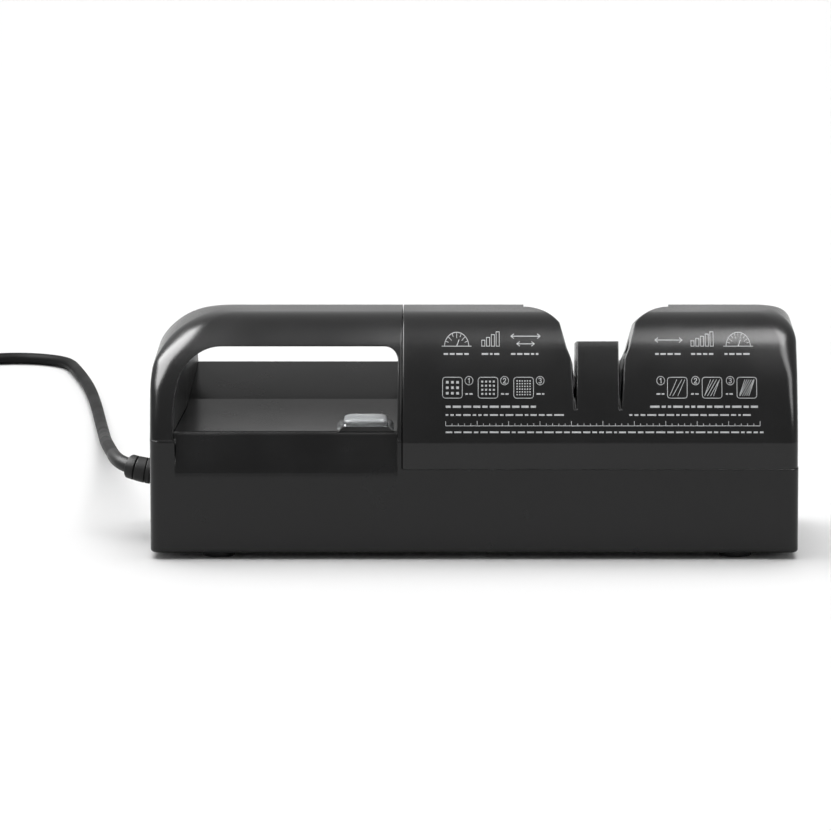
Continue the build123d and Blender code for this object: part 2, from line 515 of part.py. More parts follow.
SPACERS = [(16.5, 12.0), (101.9, 12.0), (GUIDE_X, 14.0), (GUIDE_X, 58.0), (39.2, 48.0), (79.2, 48.0)]
save(chassis_plate(-22.9, -20.5), "chassis_front_plate")
save(chassis_plate(20.5, 22.9), "chassis_rear_plate")
sp, cs = None, None
for (x, z) in SPACERS:
    s = cyl_y(x, z, 3.0, -20.5, 20.5) - cyl_y(x, z, 1.25, -22, 22)
    if z == 48.0:
        s = s + box(x - 5.0, x + 5.0, -6, 6, z - 2.0, z + 3.1)
        s = s - cyl_y(x, z, 1.25, -22, 22)
    sp = s if sp is None else sp + s
    for sgn in (-1, 1):
        c = cyl_y(x, z, 1.25, min(sgn * 14.0, sgn * 22.9), max(sgn * 14.0, sgn * 22.9)) + cyl_y(x, z, 2.6, min(sgn * 22.9, sgn * 24.4), max(sgn * 22.9, sgn * 24.4))
        cs = c if cs is None else cs + c
save(sp, "chassis_spacers")
save(cs, "chassis_screws")
bu = None
for x in DRIVE_X:
    for (y0, y1) in ((-24.0, -18.6), (18.6, 24.0)):
        b = cyl_y(x, AXIS_Z, 6.0, y0, y1) - cyl_y(x, AXIS_Z, 4.04, y0 - 1, y1 + 1)
        bu = b if bu is None else bu + b
save(bu, "shaft_bushes")

# ---------------------------------------------------------------- shafts, rollers, gears
save(cyl_y(DRIVE_X[0], AXIS_Z, 4.0, -26.0, 47.5), "left_drive_shaft")
save(cyl_y(DRIVE_X[1], AXIS_Z, 4.0, -26.0, 35.5), "right_drive_shaft")
for i, nm in ((0, "left"), (1, "right")):
    r = cyl_y(DRIVE_X[i], AXIS_Z, R_DRIVE, -16.5, 16.5) - cyl_y(DRIVE_X[i], AXIS_Z, 4.0, -20, 20)
    r = r - (cyl_y(DRIVE_X[i], AXIS_Z, 9.4, -18, -14) - cyl_y(DRIVE_X[i], AXIS_Z, 6.0, -18, -14))
    r = r - (cyl_y(DRIVE_X[i], AXIS_Z, 9.4, 14, 18) - cyl_y(DRIVE_X[i], AXIS_Z, 6.0, 14, 18))
    save(r, nm + "_drive_roller")


def gear(cx, cz, y0, y1, phase, bore):
    """Involute spur gear, 20 degree pressure angle, thinned for backlash."""
    rp = MODULE * TEETH / 2
    rb = rp * math.cos(math.radians(20))
    ra = rp + MODULE * 0.95
    rf = rp - MODULE * 1.25
    half = math.pi / (2 * TEETH) - 0.10 / rp
    inv = lambda a: math.tan(a) - a
    tp = math.acos(rb / rp)
    flank = []
    for k in range(5):
        r = max(rb, rf) + (ra - max(rb, rf)) * k / 4.0
        a = math.acos(min(1.0, rb / r))
        flank.append((r, half + inv(tp) - inv(a)))
    pts = []
    for t in range(TEETH):
        c = phase + 2 * math.pi * t / TEETH
        pts.append((cx + rf * math.cos(c - flank[0][1] * 1.05), cz + rf * math.sin(c - flank[0][1] * 1.05)))
        for (r, w) in flank:
            pts.append((cx + r * math.cos(c - w), cz + r * math.sin(c - w)))
        for (r, w) in reversed(flank):
            pts.append((cx + r * math.cos(c + w), cz + r * math.sin(c + w)))
        pts.append((cx + rf * math.cos(c + flank[0][1] * 1.05), cz + rf * math.sin(c + flank[0][1] * 1.05)))
    g = along_y(pts, y0, y1)
    g = g - (cyl_y(cx, cz, 18.0, y0 - 1, y0 + 2.0) - cyl_y(cx, cz, 9.0, y0 - 1, y0 + 2.0))
    for k in range(6):
        px, pz = polar(cx, cz, 13.4, 60 * k)
        g = g - cyl_y(px, pz, 2.8, y0 - 1, y1 + 1)
    return g - cyl_y(cx, cz, bore, y0 - 1, y1 + 1)


save(gear(DRIVE_X[0], AXIS_Z, 26.4, 33.4, 0.0, 4.0), "left_gear")
save(gear(DRIVE_X[1], AXIS_Z, 26.4, 33.4, math.pi / TEETH, 4.0), "right_gear")
save(toothed(DRIVE_X[0], AXIS_Z, R_PUL_D, 40, 36.0, 46.0, 4.0), "driven_pulley")

# ---------------------------------------------------------------- nose rollers and tension carriages
for i, nm in ((0, "left"), (1, "right")):
    x = NOSE_X[i]
    roll = cyl_y(x, NOSE_Z, R_NOSE, -16.0, 16.0) + cyl_y(x, NOSE_Z, 2.5, -20.0, 20.0)
    save(roll, nm + "_nose_roller")
    car = box(x - 3.6, x + 3.6, -20.2, -18.2, 57.5, 85.2) + box(x - 3.6, x + 3.6, 18.2, 20.2, 57.5, 85.2)
    car = car + box(x - 3.6, x + 3.6, -20.2, 20.2, 57.5, 60.0) + box(x - 4.4, x + 4.4, -4.4, 4.4, 57.5, 60.0)
    car = car + cyl_z(x, 0, 2.4, 55.6, 57.6)
    car = car - cyl_y(x, NOSE_Z, 2.55, -25, 25)
    save(car, nm + "_carriage")
    # compression spring between the cross bar and the carriage
    h0, h1, wr = 51.1, 57.5, 0.45
    path = Helix(pitch=(h1 - h0 - 2 * wr) / 4.0, height=(h1 - h0 - 2 * wr), radius=3.4, center=(x, 0, h0 + wr))
    try:
        spring = sweep(Plane(origin=path @ 0, z_dir=path % 0) * Circle(wr), path=path, is_frenet=True)
        ok = spring.is_valid and spring.volume > 0.8 * path.length * math.pi * wr * wr
    except Exception:
        ok = False
    if not ok:
        print("   spring as plain tube")
        spring = cyl_z(x, 0, 3.85, h0, h1) - cyl_z(x, 0, 2.95, h0 - 1, h1 + 1)
    save(spring, nm + "_tension_spring")
    # abrasive belt loop
    ab = along_y(tangent_belt(DRIVE_X[i], AXIS_Z, R_DRIVE + 0.25 + BELT_T, x, NOSE_Z, R_NOSE + 0.25 + BELT_T), -BELT_W / 2, BELT_W / 2)
    ab = ab - along_y(tangent_belt(DRIVE_X[i], AXIS_Z, R_DRIVE + 0.25, x, NOSE_Z, R_NOSE + 0.25), -30, 30)
    save(ab, nm + "_abrasive_belt")

# ---------------------------------------------------------------- electrics
save(box(-26, -14, -46, -38, 5.5, 30) - box(-24, -16, -44, -40, 20, 31), "interlock_switch")
save(cyl_z(-20, -42, 1.6, 22.0, 36.0), "interlock_plunger")
save(cyl_y(-130.2, 13.5, 8.0, -16, 18), "capacitor")
tbk = box(-146, -132, 22, 40, 5.5, 24)
for k in range(3):
    tbk = tbk - cyl_z(-139, 25.5 + 5.5 * k, 1.6, 15, 30)
save(tbk, "terminal_block")
clamp = box(-150.0, -139.6, -5.5, 11.5, 27.5, 31.2) + box(-150.0, -139.6, -5.5, 11.5, 33.8, 37.4)
clamp = clamp + box(-150.0, -147.0, -5.5, -2.0, 27.5, 37.4)
clamp = clamp + box(-152.6, -139.6, -8.5, -5.5, 27.5, 37.4) + box(-152.6, -139.6, 11.5, 14.5, 27.5, 37.4)
clamp = clamp - cyl_x(REL_Y, REL_Z, 2.35, -160, -130)
clamp = clamp - cyl_z(-142.5, -2.9, 1.25, 20, 50) - cyl_z(-142.5, 8.9, 1.25, 20, 50)
save(clamp, "cord_clamp")
sc = None
for y in (-2.9, 8.9):
    s = cyl_z(-142.5, y, 1.2, 26.0, 37.4) + cyl_z(-142.5, y, 2.4, 37.4, 39.0)
    sc = s if sc is None else sc + s
save(sc, "cord_clamp_screws")


def tube_radii(pts):
    """Bend radius at each corner: 0.45 of the shorter run over tan(half turn)."""
    out = []
    for i in range(1, len(pts) - 1):
        a = Vector(*pts[i]) - Vector(*pts[i - 1])
        b = Vector(*pts[i + 1]) - Vector(*pts[i])
        turn = a.get_angle(b)
        out.append(0.45 * min(a.length, b.length) / math.tan(math.radians(turn / 2)))
    return out


def wire(points, d):
    path = FilletPolyline(*points, radius=tube_radii(points))
    return sweep(Plane(origin=path @ 0, z_dir=path % 0) * Circle(d / 2), path=path)


w1 = wire([(-150.0, REL_Y, REL_Z), (-137.0, REL_Y, REL_Z), (-134.6, 8.6, 32.4), (-135.0, 17.0, 31.0), (-138.2, 23.6, 28.6), (-139.0, 25.5, 24.3)], 4.6)
w2 = wire([(-139, 31.0, 24.3), (-139.0, 31.0, 34.0), (-136.0, 22.0, 47.0), (-118.0, 6.0, 58.5), (-104.0, -3.0, 61.0), (-84.0, -9.0, 61.3),
           (-68.0, -18.0, 57.0), (-60.0, -26.0, 46.0), (-58.0, -31.5, 37.0), (-58.0, -37.7, 34.6)], 2.2)
w3 = wire([(-139, 36.5, 24.3), (-139.0, 36.5, 38.0), (-130.0, 34.0, 54.0), (-113.0, 25.0, 61.5), (-97.0, 20.8, 60.5), (-94.0, 20.6, 52.4)], 2.2)
w4 = wire([(-52.0, -37.7, 34.6), (-52.2, -31.5, 37.0), (-54.6, -26.0, 47.0), (-64.0, -22.0, 57.6), (-76.0, -20.6, 60.6), (-85.0, -20.6, 58.4), (-87.6, -20.6, 52.4)], 2.2)
wiring = Compound(children=[w1, w2, w3, w4])
save(wiring, "internal_wiring")

# ---------------------------------------------------------------- strain relief and cord
# ribbed rubber sleeve that leaves the left wall and turns to the rear with the cord
rel_pts = [(-150.0, REL_Y, REL_Z), (-157.0, REL_Y, REL_Z + 0.1), (-168.0, 4.4, 34.9), (-174.8, 12.4, 36.8), (-176.8, 26.0, 36.8)]
rel_path = FilletPolyline(*rel_pts, radius=tube_radii(rel_pts))
rel_end, rel_dir = rel_path @ 1, rel_path % 1
n_run = 9
t_of = [0.385 + 0.615 * k / n_run for k in range(n_run + 1)]
core = loft([Plane(origin=rel_path @ t, z_dir=rel_path % t) * Circle(4.5 - 0.9 * k / n_run) for k, t in enumerate(t_of)])
# neck in the wall, with a collar inside, turned about its own axis
neck = [(-156.0, 0.0), (-156.0, 4.6), (-155.0, 4.7), (-152.5, 4.7), (-152.5, 6.4), (-150.3, 6.4), (-150.3, 4.7), (-150.0, 4.7), (-150.0, 0.0)]
neck = revolve(make_face(Polyline(*[(x, REL_Y, REL_Z + r) for (x, r) in neck], close=True)),
               axis=Axis((0, REL_Y, REL_Z), (1, 0, 0)), revolution_arc=360)
# ribbed body outside the wall, tipped up and to the rear
ribs = [(0, 0), (4.6, 0), (4.6, 1.3), (6.45, 1.3), (6.45, 1.9), (5.6, 1.9), (5.6, 2.3), (6.4, 2.3), (6.4, 4.2), (5.6, 4.2), (5.6, 4.6),
        (6.3, 4.6), (6.3, 8.6), (5.6, 8.6), (5.6, 9.1), (6.05, 9.1), (6.05, 12.2), (0, 12.2)]
ribs = revolve(make_face(Polyline(*[(r, 0, u) for (r, u) in ribs], close=True)), axis=Axis.Z, revolution_arc=360)
ribs = Plane(origin=(-155.4, REL_Y, REL_Z), z_dir=(-11.0, 1.4, 2.3)) * ribs
core = neck + ribs + core
print("strain relief", core.is_valid, len(core.solids()), "sleeve from", [round(v, 2) for v in tuple(rel_path @ t_of[0])], "length", round(rel_path.length, 1))
save(core, "strain_relief")

CORD = [tuple(rel_end),
        (-178.8, 41.0, 36.1), (-181.2, 64.0, 34.0), (-183.8, 96.0, 29.8), (-186.6, 134.0, 24.4), (-189.6, 176.0, 18.4),
        (-192.8, 222.0, 12.2), (-196.4, 270.0, 7.0), (-200.8, 320.0, 4.0), (-205.4, 368.0, 3.3), (-210.2, 410.0, 3.3),
        (-214.8, 444.0, 3.3), (-219.2, 470.0, 3.3), (-224.2, 496.6, 3.3), (-229.8, 522.9, 3.3), (-241.7, 536.7, 3.3),
        (-258.9, 542.6, 3.3), (-276.8, 539.1, 3.3), (-290.6, 527.2, 3.3), (-296.5, 510.0, 3.3), (-298.4, 488.0, 3.3), (-296.0, 463.0, 3.3)]
COIL_C, COIL_R = (-333.0, 440.0), 35.0


radii = tube_radii(CORD)
print("cord bend radii", [round(r, 1) for r in radii])
print("cord runs", [round((Vector(*CORD[i + 1]) - Vector(*CORD[i])).length, 1) for i in range(len(CORD) - 1)])
cord_path = FilletPolyline(*CORD, radius=radii)
cord = sweep(Plane(origin=cord_path @ 0, z_dir=cord_path % 0) * Circle(CORD_D / 2), path=cord_path)
print("cord length", round(cord_path.length, 1), "volume", round(cord.volume, 1),
      "expected", round(cord_path.length * math.pi * CORD_D ** 2 / 4, 1))
save(cord, "power_cord")

coil = cyl_z(COIL_C[0], COIL_C[1], COIL_R + 6.6, 0, 19.6) - cyl_z(COIL_C[0], COIL_C[1], COIL_R - 6.6, -1, 21)
save(coil, "cord_coil")
tie = box(COIL_C[0] - 3.0, COIL_C[0] + 3.0, COIL_C[1] - COIL_R - 7.6, COIL_C[1] - COIL_R + 7.6, 0.0, 20.8)
tie = tie - box(COIL_C[0] - 4.0, COIL_C[0] + 4.0, COIL_C[1] - COIL_R - 6.8, COIL_C[1] - COIL_R + 6.9, -0.1, 19.8)
save(tie, "cord_tie")

# two-pin plug, lying beside the coil
PX, PY = COIL_C[0] - COIL_R - 3.2, COIL_C[1] + 21.0
plug = loft([Pos(PX, PY, 8.2) * Rot(90, 0, 0) * Circle(3.9), Pos(PX, PY + 14, 8.2) * Rot(90, 0, 0) * Circle(5.6)])
plug = plug + loft([Pos(PX, PY + 13.9, 8.2) * Rot(90, 0, 0) * RectangleRounded(15, 11, 4.0),
                    Pos(PX, PY + 24, 8.2) * Rot(90, 0, 0) * RectangleRounded(26, 14, 5.0),
                    Pos(PX, PY + 38, 8.2) * Rot(90, 0, 0) * RectangleRounded(32, 14, 6.0)])
for sx in (-9.5, 9.5):
    plug = plug - cyl_y(PX + sx, 8.2, 2.4, PY + 30, PY + 40)
save(plug, "plug_body")
pins = None
for sx in (-9.5, 9.5):
    p = cyl_y(PX + sx, 8.2, 2.4, PY + 30.0, PY + 54.6) + Pos(PX + sx, PY + 54.6, 8.2) * Sphere(2.4)
    pins = p if pins is None else pins + p
save(pins, "plug_pins")
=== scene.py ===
import bpy
import bmesh
import json
import math
import random
from mathutils import Vector, Matrix


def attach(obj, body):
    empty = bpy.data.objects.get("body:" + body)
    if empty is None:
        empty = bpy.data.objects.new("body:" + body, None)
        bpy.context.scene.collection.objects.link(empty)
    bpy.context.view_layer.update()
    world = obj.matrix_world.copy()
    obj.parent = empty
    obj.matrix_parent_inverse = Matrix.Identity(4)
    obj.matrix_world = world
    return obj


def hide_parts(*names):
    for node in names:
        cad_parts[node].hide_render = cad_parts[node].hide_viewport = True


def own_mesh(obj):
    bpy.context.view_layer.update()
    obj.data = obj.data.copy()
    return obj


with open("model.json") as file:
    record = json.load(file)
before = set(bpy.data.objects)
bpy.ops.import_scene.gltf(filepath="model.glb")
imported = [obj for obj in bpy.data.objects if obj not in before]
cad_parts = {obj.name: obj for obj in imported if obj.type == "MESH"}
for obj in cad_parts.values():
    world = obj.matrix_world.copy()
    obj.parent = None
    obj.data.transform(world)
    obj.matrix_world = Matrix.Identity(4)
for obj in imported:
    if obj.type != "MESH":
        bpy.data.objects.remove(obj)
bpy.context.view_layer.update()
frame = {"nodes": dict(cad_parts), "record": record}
random.seed(7)
MM = 0.001
nodes = frame["nodes"]
scene = bpy.context.scene

# ------------------------------------------------------------------ camera
ELEV = math.radians(9.5)
DIST = 3.0
target = Vector((0.0, -0.055, 0.0699))
cam_data = bpy.data.cameras.new("camera")
cam = bpy.data.objects.new("camera", cam_data)
scene.collection.objects.link(cam)
cam.location = target + DIST * Vector((0.0, -math.cos(ELEV), math.sin(ELEV)))
cam.rotation_mode = "QUATERNION"
cam.rotation_quaternion = Vector((0.0, math.cos(ELEV), -math.sin(ELEV))).to_track_quat("-Z", "Y")
cam_data.sensor_width = 36.0
cam_data.lens = 36.0 * 3000.0 / 396.1
cam_data.shift_x = -58.7 / 831.0
cam_data.shift_y = 0.0
cam_data.clip_start = 0.05
cam_data.clip_end = 60.0
scene.camera = cam


# ------------------------------------------------------------------ materials
def new_mat(name):
    m = bpy.data.materials.new(name)
    m.use_nodes = True
    nt = m.node_tree
    bsdf = nt.nodes["Principled BSDF"]
    return m, nt, bsdf


def add(nt, kind, **inputs):
    n = nt.nodes.new(kind)
    for k, v in inputs.items():
        n.inputs[k.replace("_", " ")].default_value = v
    return n


def textured(name, color, rough, spec=0.5, metal=0.0, vary=0.12, bump=0.02, scale=900.0, rough_vary=0.08,
             edge=0.0, wear=0.0, coat=0.0, stretch=None, coarse=35.0):
    """Plastic, rubber or metal with a fine grain, a slow colour and gloss variation, and soft edges."""
    m, nt, b = new_mat(name)
    b.inputs["Metallic"].default_value = metal
    b.inputs["Specular IOR Level"].default_value = spec
    if coat:
        b.inputs["Coat Weight"].default_value = coat
        b.inputs["Coat Roughness"].default_value = 0.12
    tc = nt.nodes.new("ShaderNodeTexCoord")
    src = tc.outputs["Object"]
    if stretch:
        mp = nt.nodes.new("ShaderNodeMapping")
        mp.inputs["Scale"].default_value = stretch
        nt.links.new(src, mp.inputs["Vector"])
        src = mp.outputs["Vector"]
    n1 = nt.nodes.new("ShaderNodeTexNoise")
    n1.inputs["Scale"].default_value = coarse
    n1.inputs["Detail"].default_value = 4.0
    nt.links.new(src, n1.inputs["Vector"])
    n2 = nt.nodes.new("ShaderNodeTexNoise")
    n2.inputs["Scale"].default_value = scale
    n2.inputs["Detail"].default_value = 3.0
    nt.links.new(src, n2.inputs["Vector"])
    ramp = nt.nodes.new("ShaderNodeValToRGB")
    lo = [c * (1 - vary) for c in color[:3]] + [1.0]
    hi = [min(1.0, c * (1 + vary)) for c in color[:3]] + [1.0]
    ramp.color_ramp.elements[0].position = 0.35
    ramp.color_ramp.elements[0].color = lo
    ramp.color_ramp.elements[1].position = 0.65
    ramp.color_ramp.elements[1].color = hi
    nt.links.new(n1.outputs["Fac"], ramp.inputs["Fac"])
    nt.links.new(ramp.outputs["Color"], b.inputs["Base Color"])
    mr = nt.nodes.new("ShaderNodeMapRange")
    mr.inputs["From Min"].default_value = 0.3
    mr.inputs["From Max"].default_value = 0.7
    mr.inputs["To Min"].default_value = max(0.02, rough - rough_vary)
    mr.inputs["To Max"].default_value = min(1.0, rough + rough_vary)
    nt.links.new(n1.outputs["Fac"], mr.inputs["Value"])
    nt.links.new(mr.outputs["Result"], b.inputs["Roughness"])
    bp = nt.nodes.new("ShaderNodeBump")
    bp.inputs["Strength"].default_value = bump
    bp.inputs["Distance"].default_value = 0.0004
    nt.links.new(n2.outputs["Fac"], bp.inputs["Height"])
    if edge:
        bv = nt.nodes.new("ShaderNodeBevel")
        bv.samples = 6
        bv.inputs["Radius"].default_value = edge
        nt.links.new(bv.outputs["Normal"], bp.inputs["Normal"])
    nt.links.new(bp.outputs["Normal"], b.inputs["Normal"])
    return m


body_mat = textured("body_black_abs", (0.006, 0.006, 0.0062), 0.24, spec=0.38, vary=0.18, bump=0.05, scale=1400.0, rough_vary=0.02, edge=0.0009)
base_mat = textured("base_black_abs", (0.006, 0.006, 0.0062), 0.25, spec=0.32, vary=0.18, bump=0.05, scale=1400.0, rough_vary=0.03, edge=0.0009)
liner_mat = textured("liner_black_abs", (0.014, 0.014, 0.0145), 0.42, spec=0.5, vary=0.15, bump=0.06, scale=1300.0, rough_vary=0.04, edge=0.0005)
rubber_mat = textured("rubber_black", (0.008, 0.008, 0.008), 0.5, spec=0.28, vary=0.2, bump=0.12, scale=1800.0, edge=0.0005)
sheath_mat = textured("cord_sheath", (0.014, 0.014, 0.014), 0.5, spec=0.06, vary=0.15, bump=0.05, scale=1500.0)
gloss_mat = textured("gloss_black", (0.010, 0.010, 0.010), 0.16, spec=0.5, vary=0.15, bump=0.02, scale=1500.0, edge=0.0005, coat=0.3)
zinc_mat = textured("zinc_plate", (0.60, 0.61, 0.62), 0.32, metal=1.0, vary=0.06, bump=0.06, scale=900.0, edge=0.0004, stretch=(1.0, 1.0, 12.0))
ground_mat = textured("ground_steel", (0.66, 0.66, 0.67), 0.2, metal=1.0, vary=0.05, bump=0.03, scale=1200.0, edge=0.0003, stretch=(1.0, 14.0, 1.0))
cast_mat = textured("cast_zinc", (0.52, 0.53, 0.54), 0.42, metal=1.0, vary=0.08, bump=0.15, scale=700.0, edge=0.0005)
copper_mat = textured("copper_winding", (0.62, 0.22, 0.08), 0.28, metal=1.0, vary=0.15, bump=0.25, scale=300.0, stretch=(1.0, 30.0, 30.0))
bronze_mat = textured("bronze", (0.55, 0.36, 0.16), 0.4, metal=1.0, vary=0.1, bump=0.1, scale=800.0, edge=0.0003)
lam_mat = textured("lamination", (0.16, 0.165, 0.175), 0.5, metal=0.9, vary=0.12, bump=0.35, scale=300.0, stretch=(0.2, 6.0, 0.2))
nylon_mat = textured("nylon_white", (0.72, 0.71, 0.66), 0.38, spec=0.45, vary=0.05, bump=0.04, scale=900.0, edge=0.0004)
toothed_mat = textured("toothed_rubber", (0.016, 0.016, 0.017), 0.6, spec=0.3, vary=0.2, bump=0.2, scale=900.0, edge=0.0003)
wire_mat = textured("wire_insulation", (0.05, 0.09, 0.30), 0.3, spec=0.5, vary=0.1, bump=0.02, scale=900.0)
print_mat = textured("white_print", (0.62, 0.63, 0.64), 0.5, spec=0.3, vary=0.06, bump=0.1, scale=2500.0)


def abrasive():
    """Light grey cloth belt with a fine grit."""
    m, nt, b = new_mat("abrasive_cloth")
    tc = nt.nodes.new("ShaderNodeTexCoord")
    vo = nt.nodes.new("ShaderNodeTexVoronoi")
    vo.inputs["Scale"].default_value = 2600.0
    nt.links.new(tc.outputs["Object"], vo.inputs["Vector"])
    no = nt.nodes.new("ShaderNodeTexNoise")
    no.inputs["Scale"].default_value = 120.0
    no.inputs["Detail"].default_value = 6.0
    nt.links.new(tc.outputs["Object"], no.inputs["Vector"])
    ramp = nt.nodes.new("ShaderNodeValToRGB")
    ramp.color_ramp.elements[0].position = 0.3
    ramp.color_ramp.elements[0].color = (0.36, 0.36, 0.36, 1)
    ramp.color_ramp.elements[1].position = 0.7
    ramp.color_ramp.elements[1].color = (0.47, 0.47, 0.47, 1)
    nt.links.new(no.outputs["Fac"], ramp.inputs["Fac"])
    nt.links.new(ramp.outputs["Color"], b.inputs["Base Color"])
    b.inputs["Roughness"].default_value = 0.85
    bp = nt.nodes.new("ShaderNodeBump")
    bp.inputs["Strength"].default_value = 0.5
    bp.inputs["Distance"].default_value = 0.0003
    nt.links.new(vo.outputs["Distance"], bp.inputs["Height"])
    nt.links.new(bp.outputs["Normal"], b.inputs["Normal"])
    return m


abrasive_mat = abrasive()


def clear_pvc():
    m, nt, b = new_mat("boot_clear")
    b.inputs["Base Color"].default_value = (0.84, 0.86, 0.87, 1)
    b.inputs["IOR"].default_value = 1.45
    tc = nt.nodes.new("ShaderNodeTexCoord")
    # painted highlight: the skin is made milky white over the top so it reads bright as if lit there, clear down its
    # sides
    high = nt.nodes.new("ShaderNodeSeparateXYZ")
    nt.links.new(tc.outputs["Object"], high.inputs["Vector"])
    painted_top_highlight = nt.nodes.new("ShaderNodeMapRange")
    painted_top_highlight.inputs["From Min"].default_value = 0.0645
    painted_top_highlight.inputs["From Max"].default_value = 0.0668
    painted_top_highlight.inputs["To Min"].default_value = 0.95
    painted_top_highlight.inputs["To Max"].default_value = 0.45
    nt.links.new(high.outputs["Z"], painted_top_highlight.inputs["Value"])
    nt.links.new(painted_top_highlight.outputs["Result"], b.inputs["Transmission Weight"])
    n = nt.nodes.new("ShaderNodeTexNoise")
    n.inputs["Scale"].default_value = 260.0
    n.inputs["Detail"].default_value = 3.0
    nt.links.new(tc.outputs["Object"], n.inputs["Vector"])
    mr = nt.nodes.new("ShaderNodeMapRange")
    mr.inputs["To Min"].default_value = 0.06
    mr.inputs["To Max"].default_value = 0.16
    nt.links.new(n.outputs["Fac"], mr.inputs["Value"])
    nt.links.new(mr.outputs["Result"], b.inputs["Roughness"])
    bp = nt.nodes.new("ShaderNodeBump")
    bp.inputs["Strength"].default_value = 0.15
    bp.inputs["Distance"].default_value = 0.0004
    nt.links.new(n.outputs["Fac"], bp.inputs["Height"])
    nt.links.new(bp.outputs["Normal"], b.inputs["Normal"])
    return m


clear_mat = clear_pvc()

slot_mats = {
    "body_plastic": body_mat, "liner_plastic": liner_mat, "boot_clear": clear_mat, "rubber_black": rubber_mat,
    "cord_sheath": sheath_mat, "zinc_steel": zinc_mat, "ground_steel": ground_mat, "cast_zinc": cast_mat,
    "copper": copper_mat, "bronze": bronze_mat, "lamination": lam_mat, "nylon_white": nylon_mat,
    "black_gloss": gloss_mat, "abrasive_cloth": abrasive_mat, "toothed_rubber": toothed_mat, "wire_insul": wire_mat,
}
slot_of = {s["node"]: s["material_slot"] for s in frame["record"]["subparts"]}
for name, o in nodes.items():
    o.data.materials.clear()
    o.data.materials.append(slot_mats[slot_of[name]])
nodes["base_housing"].data.materials[0] = base_mat
nodes["bottom_plate"].data.materials[0] = base_mat


# ------------------------------------------------------------------ mesh helpers
def mesh_from(name, verts, faces, mat, smooth=32.0, scale=MM):
    me = bpy.data.meshes.new(name)
    me.from_pydata([(v[0] * scale, v[1] * scale, v[2] * scale) for v in verts], [], faces)
    me.validate()
    me.update()
    o = bpy.data.objects.new(name, me)
    scene.collection.objects.link(o)
    if mat:
        me.materials.append(mat)
    fix(o, smooth)
    return o


def fix(o, smooth=32.0):
    bm = bmesh.new()
    bm.from_mesh(o.data)
    bmesh.ops.recalc_face_normals(bm, faces=bm.faces)
    bm.to_mesh(o.data)
    bm.free()
    for p in o.data.polygons:
        p.use_smooth = smooth > 0
    if smooth > 0:
        o.data.set_sharp_from_angle(angle=math.radians(smooth))


def boolean(o, cutter, op="DIFFERENCE"):
    """Applies one exact boolean and removes the cutter."""
    m = o.modifiers.new("cut", "BOOLEAN")
    m.operation = op
    m.solver = "EXACT"
    m.object = cutter
    dg = bpy.context.evaluated_depsgraph_get()
    dg.update()
    new = bpy.data.meshes.new_from_object(o.evaluated_get(dg), depsgraph=dg)
    o.modifiers.clear()
    old = o.data
    o.data = new
    bpy.data.meshes.remove(old)
    cm = cutter.data
    bpy.data.objects.remove(cutter)
    bpy.data.meshes.remove(cm)
    return o


def clean(o, dist=0.02):
    bm = bmesh.new()
    bm.from_mesh(o.data)
    bmesh.ops.remove_doubles(bm, verts=bm.verts, dist=dist * MM)
    bmesh.ops.dissolve_degenerate(bm, dist=dist * MM, edges=bm.edges)
    bm.to_mesh(o.data)
    bm.free()


def set_mat(o, mat):
    o.data.materials.clear()
    o.data.materials.append(mat)
    for p in o.data.polygons:
        p.material_index = 0


def prism(name, poly, direction, length, back=0.0):
    """Closed prism from a 3-D polygon swept along direction by length, and back the other way by back."""
    d = Vector(direction).normalized()
    n = len(poly)
    a = [Vector(p) - d * back for p in poly]
    b = [Vector(p) + d * length for p in poly]
    faces = [tuple(range(n)), tuple(range(2 * n - 1, n - 1, -1))]
    faces += [(i, (i + 1) % n, n + (i + 1) % n, n + i) for i in range(n)]
    return mesh_from(name, [tuple(v) for v in a + b], faces, None, 0)


def polar(cx, cz, r, deg):
    return (cx + r * math.cos(math.radians(deg)), cz + r * math.sin(math.radians(deg)))


def arc_pts(cx, cz, r, a0, a1, n):
    return [polar(cx, cz, r, a0 + (a1 - a0) * i / n) for i in range(n + 1)]


# ------------------------------------------------------------------ shared side profile (mm)
HY, HEIGHT = 55.0, 113.5
SEAM_Z, BEND_Z, LEG_Z = 43.9, 56.5, 57.5
R_SIDE, R_TOP = 105.0, 35.17
T0, T1 = math.radians(10.0), math.radians(35.0)
C1 = (-HY + R_SIDE * math.cos(T0), BEND_Z - R_SIDE * math.sin(T0))
E1 = (C1[0] - R_SIDE * math.cos(T1), C1[1] + R_SIDE * math.sin(T1))
C2 = (E1[0] + R_TOP * math.cos(T1), E1[1] - R_TOP * math.sin(T1))


def half_y(z, off=0.0):
    """Half depth of the side profile at height z, inset by off."""
    zb = C1[1] + (R_SIDE - off) * math.sin(T0)
    ze = C1[1] + (R_SIDE - off) * math.sin(T1)
    if z <= zb:
        return -(C1[0] - (R_SIDE - off) * math.cos(T0))
    if z <= ze:
        return -(C1[0] - math.sqrt(max(0.0, (R_SIDE - off) ** 2 - (z - C1[1]) ** 2)))
    return -(C2[0] - math.sqrt(max(0.0, (R_TOP - off) ** 2 - (z - C2[1]) ** 2)))


def levels(z0, off=0.0, low=()):
    """Slice heights, close together where the side turns."""
    zs = [z0] + [z for z in low if z > z0]
    zb = C1[1] + (R_SIDE - off) * math.sin(T0)
    if z0 < zb - 0.6:
        zs += [zb - 0.35]
    if z0 < zb:
        zs += [zb, zb + 0.35]
    for i in range(1, 19):
        t = math.radians(10.0 + 25.0 * i / 18.0)
        z = C1[1] + (R_SIDE - off) * math.sin(t)
        if z > zs[-1] + 0.2:
            zs.append(z)
    for i in range(1, 31):
        t = math.radians(35.0 + 55.0 * i / 30.0)
        z = C2[1] + (R_TOP - off) * math.sin(t)
        if z > zs[-1] + 0.002:
            zs.append(z)
    return zs


